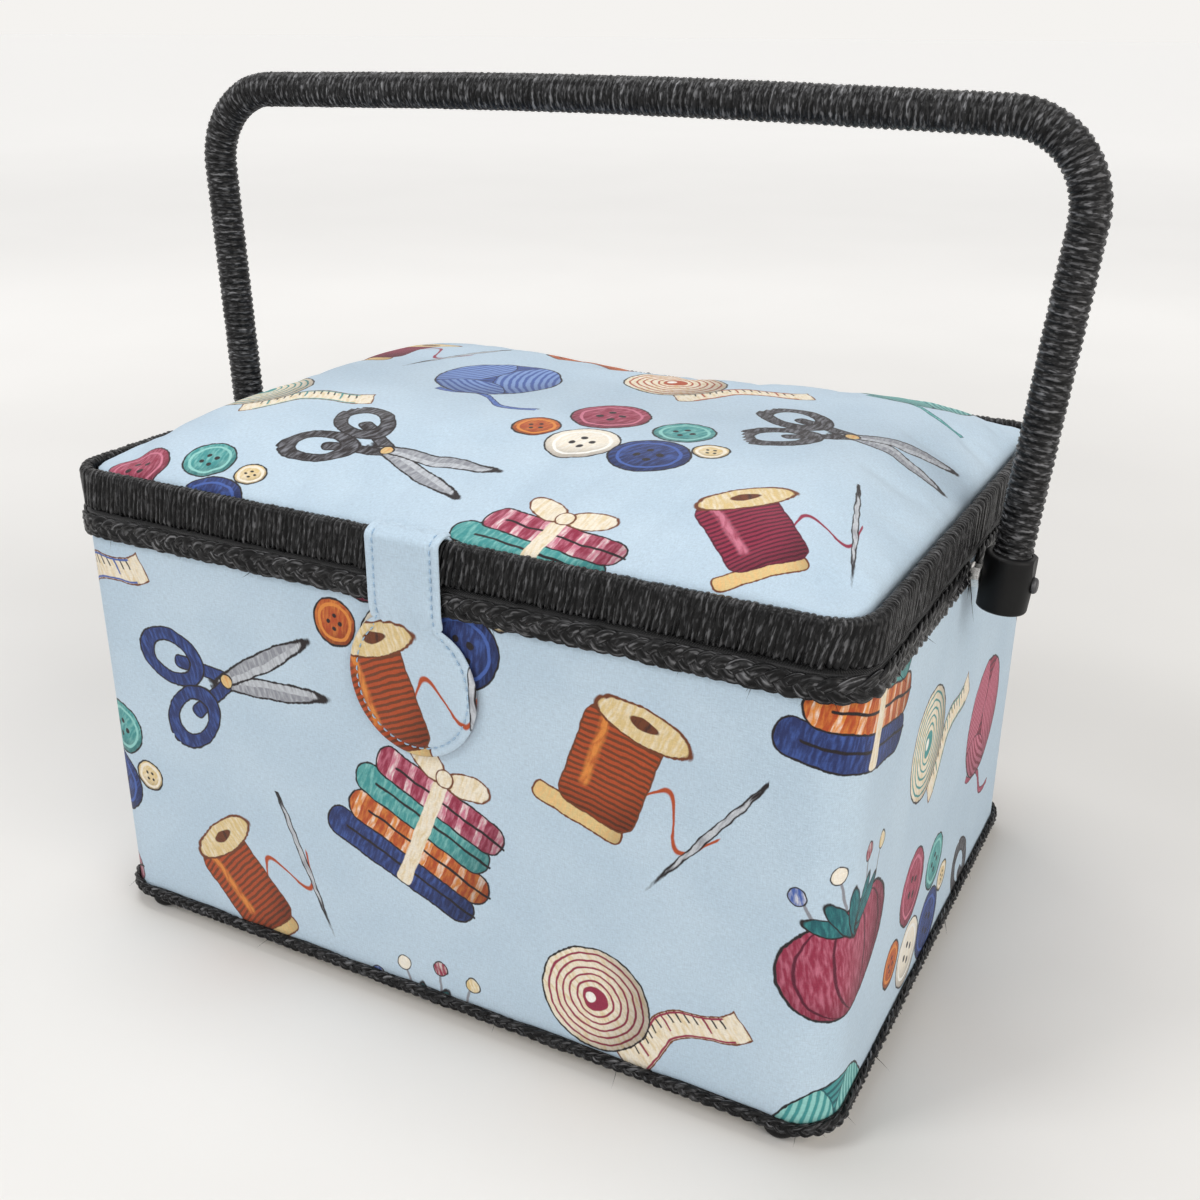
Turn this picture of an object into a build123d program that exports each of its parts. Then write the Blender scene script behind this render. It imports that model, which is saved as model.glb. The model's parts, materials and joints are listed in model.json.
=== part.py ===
from build123d import *
import os
from math import atan2, cos, radians, sin

# Covered sewing box with a padded hinged lid, swing handle, tab closure and lift-out tray.
# Millimetres. X runs across the front, Y towards the back, Z up from the floor.
# The origin is on the floor under the middle of the body.

# Body
body_width = 300.0
body_depth = 232.0
body_corner = 15.0
foot_height = 5.3
wall_height = 162.0
board = 4.0
cloth = 0.5
base_thickness = 4.0
base_cloth = 0.4
base_cloth_inset = 2.0
base_pad_thickness = 2.0
lining_drop = 1.0
fit = 0.1

# Feet
foot_diameter = 12.0
foot_flat = 7.0
foot_edge = 1.4
foot_bulge_in = 0.72
foot_bulge_height = 1.2
foot_inset_x = 17.0
foot_inset_y = 6.2
foot_pin_diameter = 2.4
foot_pin_length = 3.0

# Braids around the body
top_braid_height = 8.5
top_braid_thickness = 2.3
top_braid_drop = 0.2
bottom_braid_lift = 0.7
bottom_braid_height = 5.0
bottom_braid_thickness = 2.4

# Lid
lid_gap = 0.4
rim_overhang = 1.2
rim_height = 16.1
rim_thickness = 5.4
rim_round = 2.2
wrap_thickness = 0.9
panel_rise = 2.4
panel_thickness = 3.0
lining_thickness = 1.4
cover_edge_drop = 1.4
dome_rise = 18.8
dome_levels = (0.0, 0.5, 0.8, 0.97)
dome_power_x = 7.8
dome_power_y = 3.1

# Pocket and pincushion under the lid
pocket_inset = 18.0
pocket_gap = 18.0
pocket_length = 90.0
pocket_depth = 6.4
pocket_cloth = 0.8
pocket_seam = 2.0
pocket_y = 0.0
elastic_width = 6.0
elastic_thickness = 0.8
pincushion_width = 62.0
pincushion_length = 46.0
pincushion_thickness = 12.0
pincushion_round = 4.5
pincushion_corner = 9.0
pincushion_inset = 22.0
pincushion_y = 0.0

# Hinges at the back
hinge_x = 85.0
hinge_width = 25.0
hinge_out = 3.6
barrel_radius = 2.0
hinge_pin_radius = 0.9
knuckle_share = 0.34
knuckle_gap = 0.15
leaf_thickness = 0.9
lower_leaf_length = 14.4
lower_leaf_drop = 4.6
upper_leaf_length = 11.0
upper_leaf_rise = 2.5
leaf_seat = 0.05
leaf_notch = 0.3
leaf_lap = 0.6
joggle_out = 0.4
joggle_in = 1.4
joggle_low = 1.9
screw_spread = 14.0
screw_radius = 1.0
screw_head_radius = 2.0
screw_head_height = 0.8
screw_length = 4.4
press_clearance = 0.01
running_clearance = 0.07

# Tab closure
tab_x = 0.0
tab_width = 28.0
tab_thickness = 2.0
paddle_width = 50.0
paddle_height = 52.0
tab_length = 79.5
tab_clearance = 0.4
tab_braid_clearance = 0.3
tab_step_length = 8.0
tab_pivot_rise = 1.8
tab_pivot_gap = 0.3
tab_end_gap = 0.5
anchor_thickness = 1.55
anchor_length = 6.2
anchor_seat = 0.05
anchor_end_gap = 0.24
magnet_diameter = 14.0
magnet_thickness = 1.2
keeper_diameter = 16.0
keeper_thickness = 1.0

# Handle
pivot_y = -3.1
pivot_drop = 7.4
handle_lean = 2.9
handle_side_gap = 12.5
handle_splay = 11.6
handle_rise = 146.0
handle_bow = 3.5
handle_corner = 28.0
handle_bow_radius = 4200.0
handle_diameter = 13.3
core_diameter = 8.0
core_below = 7.0
wrap_above = 3.0
cap_diameter = 17.8
cap_low_diameter = 17.0
cap_below = 10.0
cap_above = 10.0
cap_round = 1.4
cap_flat_in = 0.45
cap_flat_out = 0.35

# Pivot bolts and nuts
bolt_radius = 2.0
bolt_head_radius = 2.8
bolt_head_height = 1.6
bolt_head_round = 1.3
bolt_end = 0.9
nut_flats = 7.0
inner_nut_thickness = 3.2
washer_radius = 6.0
washer_thickness = 1.0
flange_radius = 4.5
flange_thickness = 0.7
pivot_side_gap = 0.1
flange_wall_gap = 0.3
braid_notch_gap = 0.7

# Tray
rail_width = 8.0
rail_height = 6.0
rail_length = 240.0
rail_drop = 58.2
tray_gap_x = 6.5
tray_gap_y = 2.5
tray_height = 38.0
tray_wall = 1.6
tray_corner = 8.0
tray_lip = 1.5
tray_rest = 0.1
tray_front_wall_y = -45.0
tray_back_wall_y = 22.0
tray_back_wall_x = 46.0
tray_divider_x = 42.0
tray_divider_thickness = 1.4
tray_divider_gap = 0.2
tray_divider_drop = 4.0
tray_guide = 1.6

# Lid stay ribbon, folded flat while the lid is shut
ribbon_width = 10.0
ribbon_thickness = 0.6
ribbon_drop = 9.7
ribbon_front_y = 10.0
ribbon_fold_y = 98.0
ribbon_wall_gap = 0.4

# Worked-out heights
base_low = foot_height
wall_low = base_low + base_cloth
wall_top = wall_low + wall_height
cover_top = wall_top + cloth
base_top = wall_low + base_thickness
rim_low = cover_top + lid_gap
rim_top = rim_low + rim_height
hinge_z = (cover_top + rim_low) / 2
panel_low = rim_low + panel_rise
panel_top = panel_low + panel_thickness
lining_low = panel_low - lining_thickness
cover_edge = rim_top - cover_edge_drop
top_braid_high = cover_top - top_braid_drop
top_braid_low = top_braid_high - top_braid_height
pivot_z = cover_top - pivot_drop
rail_top = cover_top - rail_drop
ribbon_low_z = cover_top - ribbon_drop
tab_pivot_z = rim_top + tab_pivot_rise
paddle_low = tab_pivot_z - tab_length
paddle_middle = paddle_low + paddle_height / 2

# Worked-out half sizes
half_x = body_width / 2
half_y = body_depth / 2
wall_in = cloth + board
lining_in = wall_in + cloth
rim_out = rim_overhang
rim_in = rim_out - rim_thickness
hinge_y = half_y + hinge_out
inner_x = half_x - lining_in
inner_y = half_y - lining_in
pincushion_x = inner_x - pincushion_inset - pincushion_width / 2
pocket_left = pocket_inset - inner_x
pocket_right = pincushion_x - pincushion_width / 2 - pocket_gap
pocket_width = pocket_right - pocket_left
pocket_x = (pocket_left + pocket_right) / 2
handle_low_half = half_x + handle_side_gap
handle_top_half = handle_low_half + handle_splay
pieces = {}


def outline(grow):
    """The body's outline in plan, grown outwards by this much on every side."""
    RectangleRounded(2 * (half_x + grow), 2 * (half_y + grow), body_corner + grow)


def ring(grow, thickness):
    """A band in plan that follows the body, its outer edge grown outwards by this much."""
    outline(grow)
    RectangleRounded(
        2 * (half_x + grow - thickness),
        2 * (half_y + grow - thickness),
        body_corner + grow - thickness,
        mode=Mode.SUBTRACT,
    )


def side_plane(side, reach):
    """A plane square to X at this distance from the middle, on the pivot's line, facing out."""
    return Plane(origin=(side * reach, pivot_y, pivot_z), x_dir=(0, 1, 0), z_dir=(side, 0, 0))


def back_plane(x, y, z):
    """A plane square to Y that faces the back."""
    return Plane(origin=(x, y, z), x_dir=(1, 0, 0), z_dir=(0, 1, 0))


sides = ((-1, "left"), (1, "right"))
hinge_places = [side * hinge_x for side, word in sides]
screw_places = [(-screw_spread / 2, 0), (screw_spread / 2, 0)]
lower_leaf_high = hinge_z - lower_leaf_drop
lower_screw_z = lower_leaf_high - lower_leaf_length / 2
upper_leaf_low = hinge_z + upper_leaf_rise
upper_screw_z = upper_leaf_low + upper_leaf_length / 2
rim_back = half_y + rim_out
foot_x = half_x - foot_inset_x
foot_y = half_y - foot_inset_y
screw_bore = screw_radius + press_clearance
pivot_bore = bolt_radius + running_clearance

# Base board, with holes for the pins of the feet
with BuildPart() as base_board:
    with BuildSketch(Plane.XY.offset(wall_low)):
        outline(-wall_in)
    extrude(amount=base_thickness)
    with BuildSketch(Plane.XY.offset(wall_low)):
        with GridLocations(2 * foot_x, 2 * foot_y, 2, 2):
            Circle(foot_pin_diameter / 2 + press_clearance)
    extrude(amount=foot_pin_length, mode=Mode.SUBTRACT)
pieces["base_board"] = base_board

# Cloth under the base
with BuildPart() as base_cover:
    with BuildSketch(Plane.XY.offset(base_low)):
        outline(-base_cloth_inset)
        with GridLocations(2 * foot_x, 2 * foot_y, 2, 2):
            Circle(foot_pin_diameter / 2 + press_clearance, mode=Mode.SUBTRACT)
    extrude(amount=base_cloth)
pieces["base_cover"] = base_cover

# Padded card on the inside floor
with BuildPart() as base_pad:
    with BuildSketch(Plane.XY.offset(base_top)):
        outline(-lining_in - fit)
    extrude(amount=base_pad_thickness)
pieces["base_pad"] = base_pad

# Wall board, bored for the bolts and hinge screws, with a pocket for the keeper
with BuildPart() as box_wall:
    with BuildSketch(Plane.XY.offset(wall_low)):
        ring(-cloth, board)
    extrude(amount=wall_height)
    with BuildSketch(side_plane(1, 0)):
        Circle(pivot_bore)
    extrude(amount=body_width, both=True, mode=Mode.SUBTRACT)
    for x in hinge_places:
        with BuildSketch(back_plane(x, half_y, lower_screw_z)):
            with Locations(*screw_places):
                Circle(screw_bore)
        extrude(amount=-lining_in, mode=Mode.SUBTRACT)
    with BuildSketch(back_plane(tab_x, -half_y + cloth, paddle_middle)):
        Circle(keeper_diameter / 2)
    extrude(amount=keeper_thickness, mode=Mode.SUBTRACT)
pieces["box_wall"] = box_wall

# Steel keeper disc behind the cover, for the magnet in the tab
with BuildPart() as keeper_disc:
    with BuildSketch(back_plane(tab_x, -half_y + cloth, paddle_middle)):
        Circle(keeper_diameter / 2 - press_clearance)
    extrude(amount=keeper_thickness)
pieces["keeper_disc"] = keeper_disc

# Outer cover, turned in over the wall's top edge
with BuildPart() as wall_cover:
    with BuildSketch(Plane.XY.offset(wall_low)):
        ring(0, cloth)
    extrude(amount=wall_height)
    with BuildSketch(Plane.XY.offset(wall_top)):
        ring(0, wall_in)
    extrude(amount=cloth)
    with BuildSketch(side_plane(1, 0)):
        Circle(pivot_bore)
    extrude(amount=body_width, both=True, mode=Mode.SUBTRACT)
    for x in hinge_places:
        with BuildSketch(back_plane(x, half_y, lower_screw_z)):
            with Locations(*screw_places):
                Circle(screw_bore)
        extrude(amount=-lining_in, mode=Mode.SUBTRACT)
pieces["wall_cover"] = wall_cover

# Inner lining
with BuildPart() as wall_lining:
    with BuildSketch(Plane.XY.offset(base_top)):
        ring(-wall_in, cloth)
    extrude(amount=wall_top - lining_drop - base_top)
    with BuildSketch(side_plane(1, 0)):
        Circle(pivot_bore)
    extrude(amount=body_width, both=True, mode=Mode.SUBTRACT)
pieces["wall_lining"] = wall_lining

# Top braid, open around the pivots and where the hinge leaves lie, so it is a long and a short run
with BuildPart() as braid_loop:
    with BuildSketch(Plane.XY.offset(top_braid_low)):
        ring(top_braid_thickness, top_braid_thickness)
    extrude(amount=top_braid_height)
    with BuildSketch(side_plane(1, 0)):
        Circle(flange_radius + braid_notch_gap)
    extrude(amount=body_width, both=True, mode=Mode.SUBTRACT)
    for x in hinge_places:
        with BuildSketch(back_plane(x, half_y, (top_braid_low + top_braid_high) / 2)):
            Rectangle(hinge_width + 2 * leaf_notch, 2 * top_braid_height)
        extrude(amount=2 * top_braid_thickness, mode=Mode.SUBTRACT)
braid_runs = braid_loop.solids().sort_by(SortBy.VOLUME)
with BuildPart() as top_braid_back:
    add(braid_runs[0])
pieces["top_braid_back"] = top_braid_back
with BuildPart() as top_braid:
    add(braid_runs[-1])
pieces["top_braid"] = top_braid

# Bottom braid
with BuildPart() as bottom_braid:
    with BuildSketch(Plane.XY.offset(base_low + bottom_braid_lift)):
        ring(bottom_braid_thickness, bottom_braid_thickness)
    extrude(amount=bottom_braid_height)
pieces["bottom_braid"] = bottom_braid

# Four domed feet, each with a pin driven into the base board
foot_words = {(-1, -1): "front_left", (1, -1): "front_right", (-1, 1): "back_left", (1, 1): "back_right"}
for (side, end), word in foot_words.items():
    with BuildPart() as foot:
        with BuildSketch(Plane(origin=(side * foot_x, end * foot_y, 0), x_dir=(1, 0, 0), z_dir=(0, -1, 0))):
            with BuildLine():
                Polyline((0, 0), (foot_flat / 2, 0))
                ThreePointArc(
                    (foot_flat / 2, 0),
                    (foot_diameter / 2 - foot_bulge_in, foot_bulge_height),
                    (foot_diameter / 2, foot_height - foot_edge),
                )
                Polyline(
                    (foot_diameter / 2, foot_height - foot_edge),
                    (foot_diameter / 2, foot_height),
                    (foot_pin_diameter / 2, foot_height),
                    (foot_pin_diameter / 2, foot_height + foot_pin_length),
                    (0, foot_height + foot_pin_length),
                    (0, 0),
                )
            make_face()
        revolve(axis=Axis((side * foot_x, end * foot_y, 0), (0, 0, 1)))
    pieces["foot_" + word] = foot

# Rails that carry the tray along the front and back
for end, word in ((-1, "front"), (1, "back")):
    with BuildPart() as tray_rail:
        with BuildSketch(Plane(origin=(0, end * (inner_y - rail_width / 2), rail_top - rail_height))):
            Rectangle(rail_length, rail_width)
        extrude(amount=rail_height)
    pieces["tray_rail_" + word] = tray_rail

# Hinges: lower leaf with two knuckles, pin, upper leaf with one knuckle, two screws in each leaf
knuckle = hinge_width * knuckle_share
end_knuckle = (hinge_width - knuckle) / 2 - knuckle_gap
end_knuckle_x = hinge_width / 2 - end_knuckle / 2
for side, word in sides:
    x = side * hinge_x
    with BuildPart() as lower_leaf:
        with BuildSketch(back_plane(x, half_y, lower_screw_z)):
            Rectangle(hinge_width, lower_leaf_length)
            with Locations(*screw_places):
                Circle(screw_bore, mode=Mode.SUBTRACT)
        extrude(amount=leaf_thickness)
        for step in (-end_knuckle_x, end_knuckle_x):
            with BuildSketch(Plane(origin=(x + step, hinge_y, hinge_z), x_dir=(0, 1, 0), z_dir=(1, 0, 0))):
                Circle(barrel_radius)
                with BuildLine():
                    Polyline(
                        (-hinge_out, -lower_leaf_drop),
                        (leaf_thickness - hinge_out, -lower_leaf_drop),
                        (-joggle_out, -joggle_low),
                        (-joggle_in, -leaf_lap),
                        (-hinge_out, leaf_thickness - lower_leaf_drop),
                        close=True,
                    )
                make_face()
                Circle(hinge_pin_radius + press_clearance, mode=Mode.SUBTRACT)
            extrude(amount=end_knuckle / 2, both=True)
    pieces["hinge_lower_leaf_" + word] = lower_leaf

    with BuildPart() as hinge_pin:
        with BuildSketch(Plane(origin=(x, hinge_y, hinge_z), x_dir=(0, 1, 0), z_dir=(1, 0, 0))):
            Circle(hinge_pin_radius)
        extrude(amount=hinge_width / 2, both=True)
    pieces["hinge_pin_" + word] = hinge_pin

    with BuildPart() as upper_leaf:
        with BuildSketch(back_plane(x, rim_back + leaf_seat, upper_screw_z)):
            Rectangle(hinge_width, upper_leaf_length)
            with Locations(*screw_places):
                Circle(screw_bore, mode=Mode.SUBTRACT)
        extrude(amount=leaf_thickness)
        with BuildSketch(Plane(origin=(x, hinge_y, hinge_z), x_dir=(0, 1, 0), z_dir=(1, 0, 0))):
            Circle(barrel_radius)
            leaf_in = rim_back + leaf_seat - hinge_y
            with BuildLine():
                Polyline(
                    (leaf_in, upper_leaf_rise),
                    (leaf_in, leaf_lap),
                    (leaf_in + leaf_thickness, leaf_lap),
                    (leaf_in + leaf_thickness, upper_leaf_rise),
                    close=True,
                )
            make_face()
            Circle(hinge_pin_radius + running_clearance, mode=Mode.SUBTRACT)
        extrude(amount=knuckle / 2, both=True)
    pieces["hinge_upper_leaf_" + word] = upper_leaf

    leaf_rows = (("lower", half_y, lower_screw_z), ("upper", rim_back + leaf_seat, upper_screw_z))
    for row, seat, z in leaf_rows:
        for place, name in ((screw_places[0][0], "a"), (screw_places[1][0], "b")):
            with BuildPart() as hinge_screw:
                with BuildSketch(back_plane(x + place, seat + leaf_thickness, z)):
                    Circle(screw_head_radius)
                extrude(amount=screw_head_height)
                fillet(hinge_screw.edges().sort_by(Axis.Y)[-1], screw_head_height / 2)
                with BuildSketch(back_plane(x + place, seat + leaf_thickness, z)):
                    Circle(screw_radius)
                extrude(amount=-screw_length - leaf_thickness + fit)
            pieces["hinge_screw_" + row + "_" + word + "_" + name] = hinge_screw

# Lid frame and the wrapped rim around it
with BuildPart() as lid_frame:
    with BuildSketch(Plane.XY.offset(rim_low + wrap_thickness)):
        ring(rim_out - wrap_thickness, rim_thickness - 2 * wrap_thickness)
    extrude(amount=rim_height - 2 * wrap_thickness)
    for x in hinge_places:
        with BuildSketch(back_plane(x, rim_back, upper_screw_z)):
            with Locations(*screw_places):
                Circle(screw_bore)
        extrude(amount=-2 * rim_thickness, mode=Mode.SUBTRACT)
pieces["lid_frame"] = lid_frame

with BuildPart() as lid_rim_wrap:
    with BuildSketch(Plane.XY.offset(rim_low)):
        ring(rim_out, rim_thickness)
    extrude(amount=rim_height)
    rim_edges = lid_rim_wrap.edges().group_by(Axis.Z)
    fillet(rim_edges[0] + rim_edges[-1], rim_round)
    with BuildSketch(Plane.XY.offset(rim_low + wrap_thickness)):
        ring(rim_out - wrap_thickness, rim_thickness - 2 * wrap_thickness)
    extrude(amount=rim_height - 2 * wrap_thickness, mode=Mode.SUBTRACT)
    for x in hinge_places:
        with BuildSketch(back_plane(x, rim_back, upper_screw_z)):
            with Locations(*screw_places):
                Circle(screw_bore)
        extrude(amount=-rim_thickness / 2, mode=Mode.SUBTRACT)
pieces["lid_rim_wrap"] = lid_rim_wrap

# Lid panel, padding, top cover and lining
with BuildPart() as lid_panel:
    with BuildSketch(Plane.XY.offset(panel_low)):
        outline(rim_in)
    extrude(amount=panel_thickness)
pieces["lid_panel"] = lid_panel


def dome_size(level, shrink):
    """Width, depth and corner of the padded top at a level from 0 at its edge to 1 at its top."""
    share_x = (1 - level) ** (1 / dome_power_x)
    share_y = (1 - level) ** (1 / dome_power_y)
    edge_x = half_x + rim_in - fit
    edge_y = half_y + rim_in - fit
    corner = body_corner + rim_in - fit + level * dome_rise
    return 2 * (edge_x * share_x - shrink), 2 * (edge_y * share_y - shrink), corner - shrink


with BuildPart() as lid_padding:
    with BuildSketch(Plane.XY.offset(panel_top)):
        RectangleRounded(*dome_size(0, cloth))
    extrude(amount=cover_edge - cloth - panel_top)
    for level in dome_levels:
        with BuildSketch(Plane.XY.offset(cover_edge - cloth + level * dome_rise)):
            RectangleRounded(*dome_size(level, cloth))
    loft(ruled=True)
pieces["lid_padding"] = lid_padding

with BuildPart() as lid_cover:
    for level in dome_levels:
        with BuildSketch(Plane.XY.offset(cover_edge + level * dome_rise)):
            RectangleRounded(*dome_size(level, 0))
    loft(ruled=True)
    for level in dome_levels:
        with BuildSketch(Plane.XY.offset(cover_edge - cloth + level * dome_rise)):
            RectangleRounded(*dome_size(level, cloth))
    loft(ruled=True, mode=Mode.SUBTRACT)
pieces["lid_cover"] = lid_cover

with BuildPart() as lid_lining:
    with BuildSketch(Plane.XY.offset(lining_low)):
        outline(rim_in - fit)
    extrude(amount=lining_thickness)
pieces["lid_lining"] = lid_lining

# Pocket under the lid, open towards the front, with its elastic
pocket_low = lining_low - pocket_depth
pocket_plane = Plane(origin=(pocket_x, pocket_y, pocket_low))
with BuildPart() as lid_pocket:
    with BuildSketch(pocket_plane):
        Rectangle(pocket_width, pocket_length)
    extrude(amount=pocket_depth)
    with BuildSketch(pocket_plane.offset(pocket_cloth)):
        with Locations((0, -pocket_seam)):
            Rectangle(pocket_width - 2 * pocket_seam, pocket_length)
    extrude(amount=pocket_depth, mode=Mode.SUBTRACT)
pieces["lid_pocket"] = lid_pocket

with BuildPart() as pocket_elastic:
    with BuildSketch(Plane(origin=(pocket_x, pocket_y - pocket_length / 2 + elastic_width / 2, pocket_low))):
        Rectangle(pocket_width, elastic_width)
    extrude(amount=-elastic_thickness)
pieces["pocket_elastic"] = pocket_elastic

with BuildPart() as pincushion:
    with BuildSketch(Plane(origin=(pincushion_x, pincushion_y, lining_low))):
        RectangleRounded(pincushion_width, pincushion_length, pincushion_corner)
    extrude(amount=-pincushion_thickness)
    fillet(pincushion.edges().group_by(Axis.Z)[0], pincushion_round)
pieces["pincushion"] = pincushion

# Tab closure: end sewn to the rim, hanging tab with a round paddle, magnet in the paddle
tab_pivot_y = -(half_y + top_braid_thickness + tab_braid_clearance - tab_pivot_gap)
anchor_low = rim_top + anchor_seat
anchor_front = tab_pivot_y + anchor_end_gap
with BuildPart() as tab_anchor:
    with BuildSketch(Plane(origin=(tab_x, anchor_front + anchor_length / 2, anchor_low))):
        Rectangle(tab_width, anchor_length)
    extrude(amount=anchor_thickness)
pieces["tab_anchor"] = tab_anchor

tab_top = tab_pivot_z - tab_end_gap
strap_y = tab_pivot_y - tab_pivot_gap
paddle_y = -half_y - tab_clearance
step_high = top_braid_low - 2 * tab_braid_clearance
step_low = step_high - tab_step_length
with BuildPart() as closure_tab:
    with BuildSketch(Plane(origin=(tab_x, 0, 0), x_dir=(0, 1, 0), z_dir=(1, 0, 0))):
        with BuildLine():
            Polyline(
                (strap_y, tab_top),
                (strap_y, step_high),
                (paddle_y, step_low),
                (paddle_y, paddle_low),
                (paddle_y - tab_thickness, paddle_low),
                (paddle_y - tab_thickness, step_low),
                (strap_y - tab_thickness, step_high),
                (strap_y - tab_thickness, tab_top),
                close=True,
            )
        make_face()
    extrude(amount=paddle_width, both=True)
    with BuildSketch(Plane(origin=(tab_x, 0, 0), x_dir=(1, 0, 0), z_dir=(0, -1, 0))):
        with Locations((0, paddle_middle)):
            Ellipse(paddle_width / 2, paddle_height / 2)
        with Locations((0, (tab_top + paddle_middle) / 2)):
            Rectangle(tab_width, tab_top - paddle_middle)
    extrude(amount=body_depth, both=True, mode=Mode.INTERSECT)
    with BuildSketch(back_plane(tab_x, paddle_y, paddle_middle)):
        Circle(magnet_diameter / 2)
    extrude(amount=-magnet_thickness, mode=Mode.SUBTRACT)
pieces["closure_tab"] = closure_tab

with BuildPart() as tab_magnet:
    with BuildSketch(back_plane(tab_x, paddle_y, paddle_middle)):
        Circle(magnet_diameter / 2 - press_clearance)
    extrude(amount=-magnet_thickness)
pieces["tab_magnet"] = tab_magnet

# Handle, drawn in its own leaning plane through the pivots
lean = radians(handle_lean)
handle_plane = Plane(origin=(0, pivot_y, pivot_z), x_dir=(1, 0, 0), z_dir=(0, -cos(lean), sin(lean)))
splay = atan2(handle_top_half - handle_low_half, handle_rise)
handle_radii = [handle_corner, handle_bow_radius, handle_corner]


def leg_point(side, along):
    """A point in the handle's plane on a leg's line, this far up from the pivot."""
    return (side * (handle_low_half + along * sin(splay)), along * cos(splay))


def handle_points(along):
    """Corners of the handle's line, from this height on one leg round to the other."""
    return [
        leg_point(-1, along),
        (-handle_top_half, handle_rise),
        (0, handle_rise + handle_bow),
        (handle_top_half, handle_rise),
        leg_point(1, along),
    ]


with BuildPart() as handle_core:
    with BuildLine(handle_plane) as core_line:
        FilletPolyline(*handle_points(-core_below), radius=handle_radii)
    with BuildSketch(Plane(origin=core_line.line @ 0, z_dir=core_line.line % 0)):
        Circle(core_diameter / 2)
    sweep()
    with BuildSketch(side_plane(1, 0)):
        Circle(pivot_bore)
    extrude(amount=body_width, both=True, mode=Mode.SUBTRACT)
pieces["handle_core"] = handle_core

with BuildPart() as handle_wrap:
    with BuildLine(handle_plane) as wrap_line:
        FilletPolyline(*handle_points(wrap_above), radius=handle_radii)
    with BuildSketch(Plane(origin=wrap_line.line @ 0, z_dir=wrap_line.line % 0)):
        Circle(handle_diameter / 2)
        Circle(core_diameter / 2, mode=Mode.SUBTRACT)
    sweep()
pieces["handle_wrap"] = handle_wrap

cap_in = handle_low_half - cap_diameter / 2 + cap_flat_in
cap_out = handle_low_half + cap_diameter / 2 - cap_flat_out
for side, word in sides:
    leg_x = side * sin(splay)
    leg_up = handle_plane.from_local_coords(Vector(leg_x, cos(splay), 0)) - handle_plane.origin
    cap_start = handle_plane.from_local_coords(Vector(*leg_point(side, -cap_below), 0))
    core_start = handle_plane.from_local_coords(Vector(*leg_point(side, -core_below), 0))
    wrap_start = handle_plane.from_local_coords(Vector(*leg_point(side, wrap_above), 0))
    with BuildPart() as handle_cap:
        with BuildSketch(Plane(origin=cap_start, z_dir=leg_up)):
            Circle(cap_low_diameter / 2)
        with BuildSketch(Plane(origin=cap_start + leg_up * (cap_below + cap_above), z_dir=leg_up)):
            Circle(cap_diameter / 2)
        loft()
        fillet(handle_cap.edges().filter_by(GeomType.CIRCLE), cap_round)
        with BuildSketch(Plane(origin=core_start, z_dir=leg_up)):
            Circle(core_diameter / 2 + press_clearance)
        extrude(amount=cap_below + cap_above, mode=Mode.SUBTRACT)
        with BuildSketch(Plane(origin=wrap_start, z_dir=leg_up)):
            Circle(handle_diameter / 2 + press_clearance)
        extrude(amount=cap_below + cap_above, mode=Mode.SUBTRACT)
        with BuildSketch(side_plane(side, 0)):
            Circle(pivot_bore)
        extrude(amount=body_width, mode=Mode.SUBTRACT)
        with BuildSketch(side_plane(side, cap_out)):
            Circle(cap_diameter)
        extrude(amount=cap_diameter, mode=Mode.SUBTRACT)
        with BuildSketch(side_plane(side, cap_in)):
            Circle(cap_diameter)
        extrude(amount=-cap_diameter, mode=Mode.SUBTRACT)
    pieces["handle_cap_" + word] = handle_cap

# Pivot bolts with their nuts and washers
inner_washer_x = inner_x - washer_thickness
inner_nut_x = inner_washer_x - pivot_side_gap - inner_nut_thickness
nut_bore = bolt_radius + press_clearance
for side, word in sides:
    with BuildPart() as pivot_bolt:
        with BuildSketch(side_plane(side, inner_nut_x - bolt_end)):
            Circle(bolt_radius)
        extrude(amount=cap_out + pivot_side_gap - inner_nut_x + bolt_end)
        with BuildSketch(side_plane(side, cap_out + pivot_side_gap)):
            Circle(bolt_head_radius)
        extrude(amount=bolt_head_height)
        head_edges = pivot_bolt.edges().filter_by(GeomType.CIRCLE).sort_by(Axis.X)
        fillet(head_edges[-1] if side > 0 else head_edges[0], bolt_head_round)
    pieces["pivot_bolt_" + word] = pivot_bolt

    with BuildPart() as flange_nut:
        with BuildSketch(side_plane(side, half_x + flange_wall_gap)):
            Circle(flange_radius)
        extrude(amount=flange_thickness)
        with BuildSketch(side_plane(side, half_x + flange_wall_gap)):
            RegularPolygon(nut_flats / 2, 6, major_radius=False)
        extrude(amount=cap_in - pivot_side_gap - half_x - flange_wall_gap)
        with BuildSketch(side_plane(side, half_x)):
            Circle(nut_bore)
        extrude(amount=cap_diameter, mode=Mode.SUBTRACT)
    pieces["pivot_flange_nut_" + word] = flange_nut

    with BuildPart() as inner_nut:
        with BuildSketch(side_plane(side, inner_nut_x)):
            RegularPolygon(nut_flats / 2, 6, major_radius=False)
            Circle(nut_bore, mode=Mode.SUBTRACT)
        extrude(amount=inner_nut_thickness)
    pieces["pivot_inner_nut_" + word] = inner_nut

    with BuildPart() as inner_washer:
        with BuildSketch(side_plane(side, inner_washer_x)):
            Circle(washer_radius)
            Circle(pivot_bore, mode=Mode.SUBTRACT)
        extrude(amount=washer_thickness)
    pieces["pivot_inner_washer_" + word] = inner_washer

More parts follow.
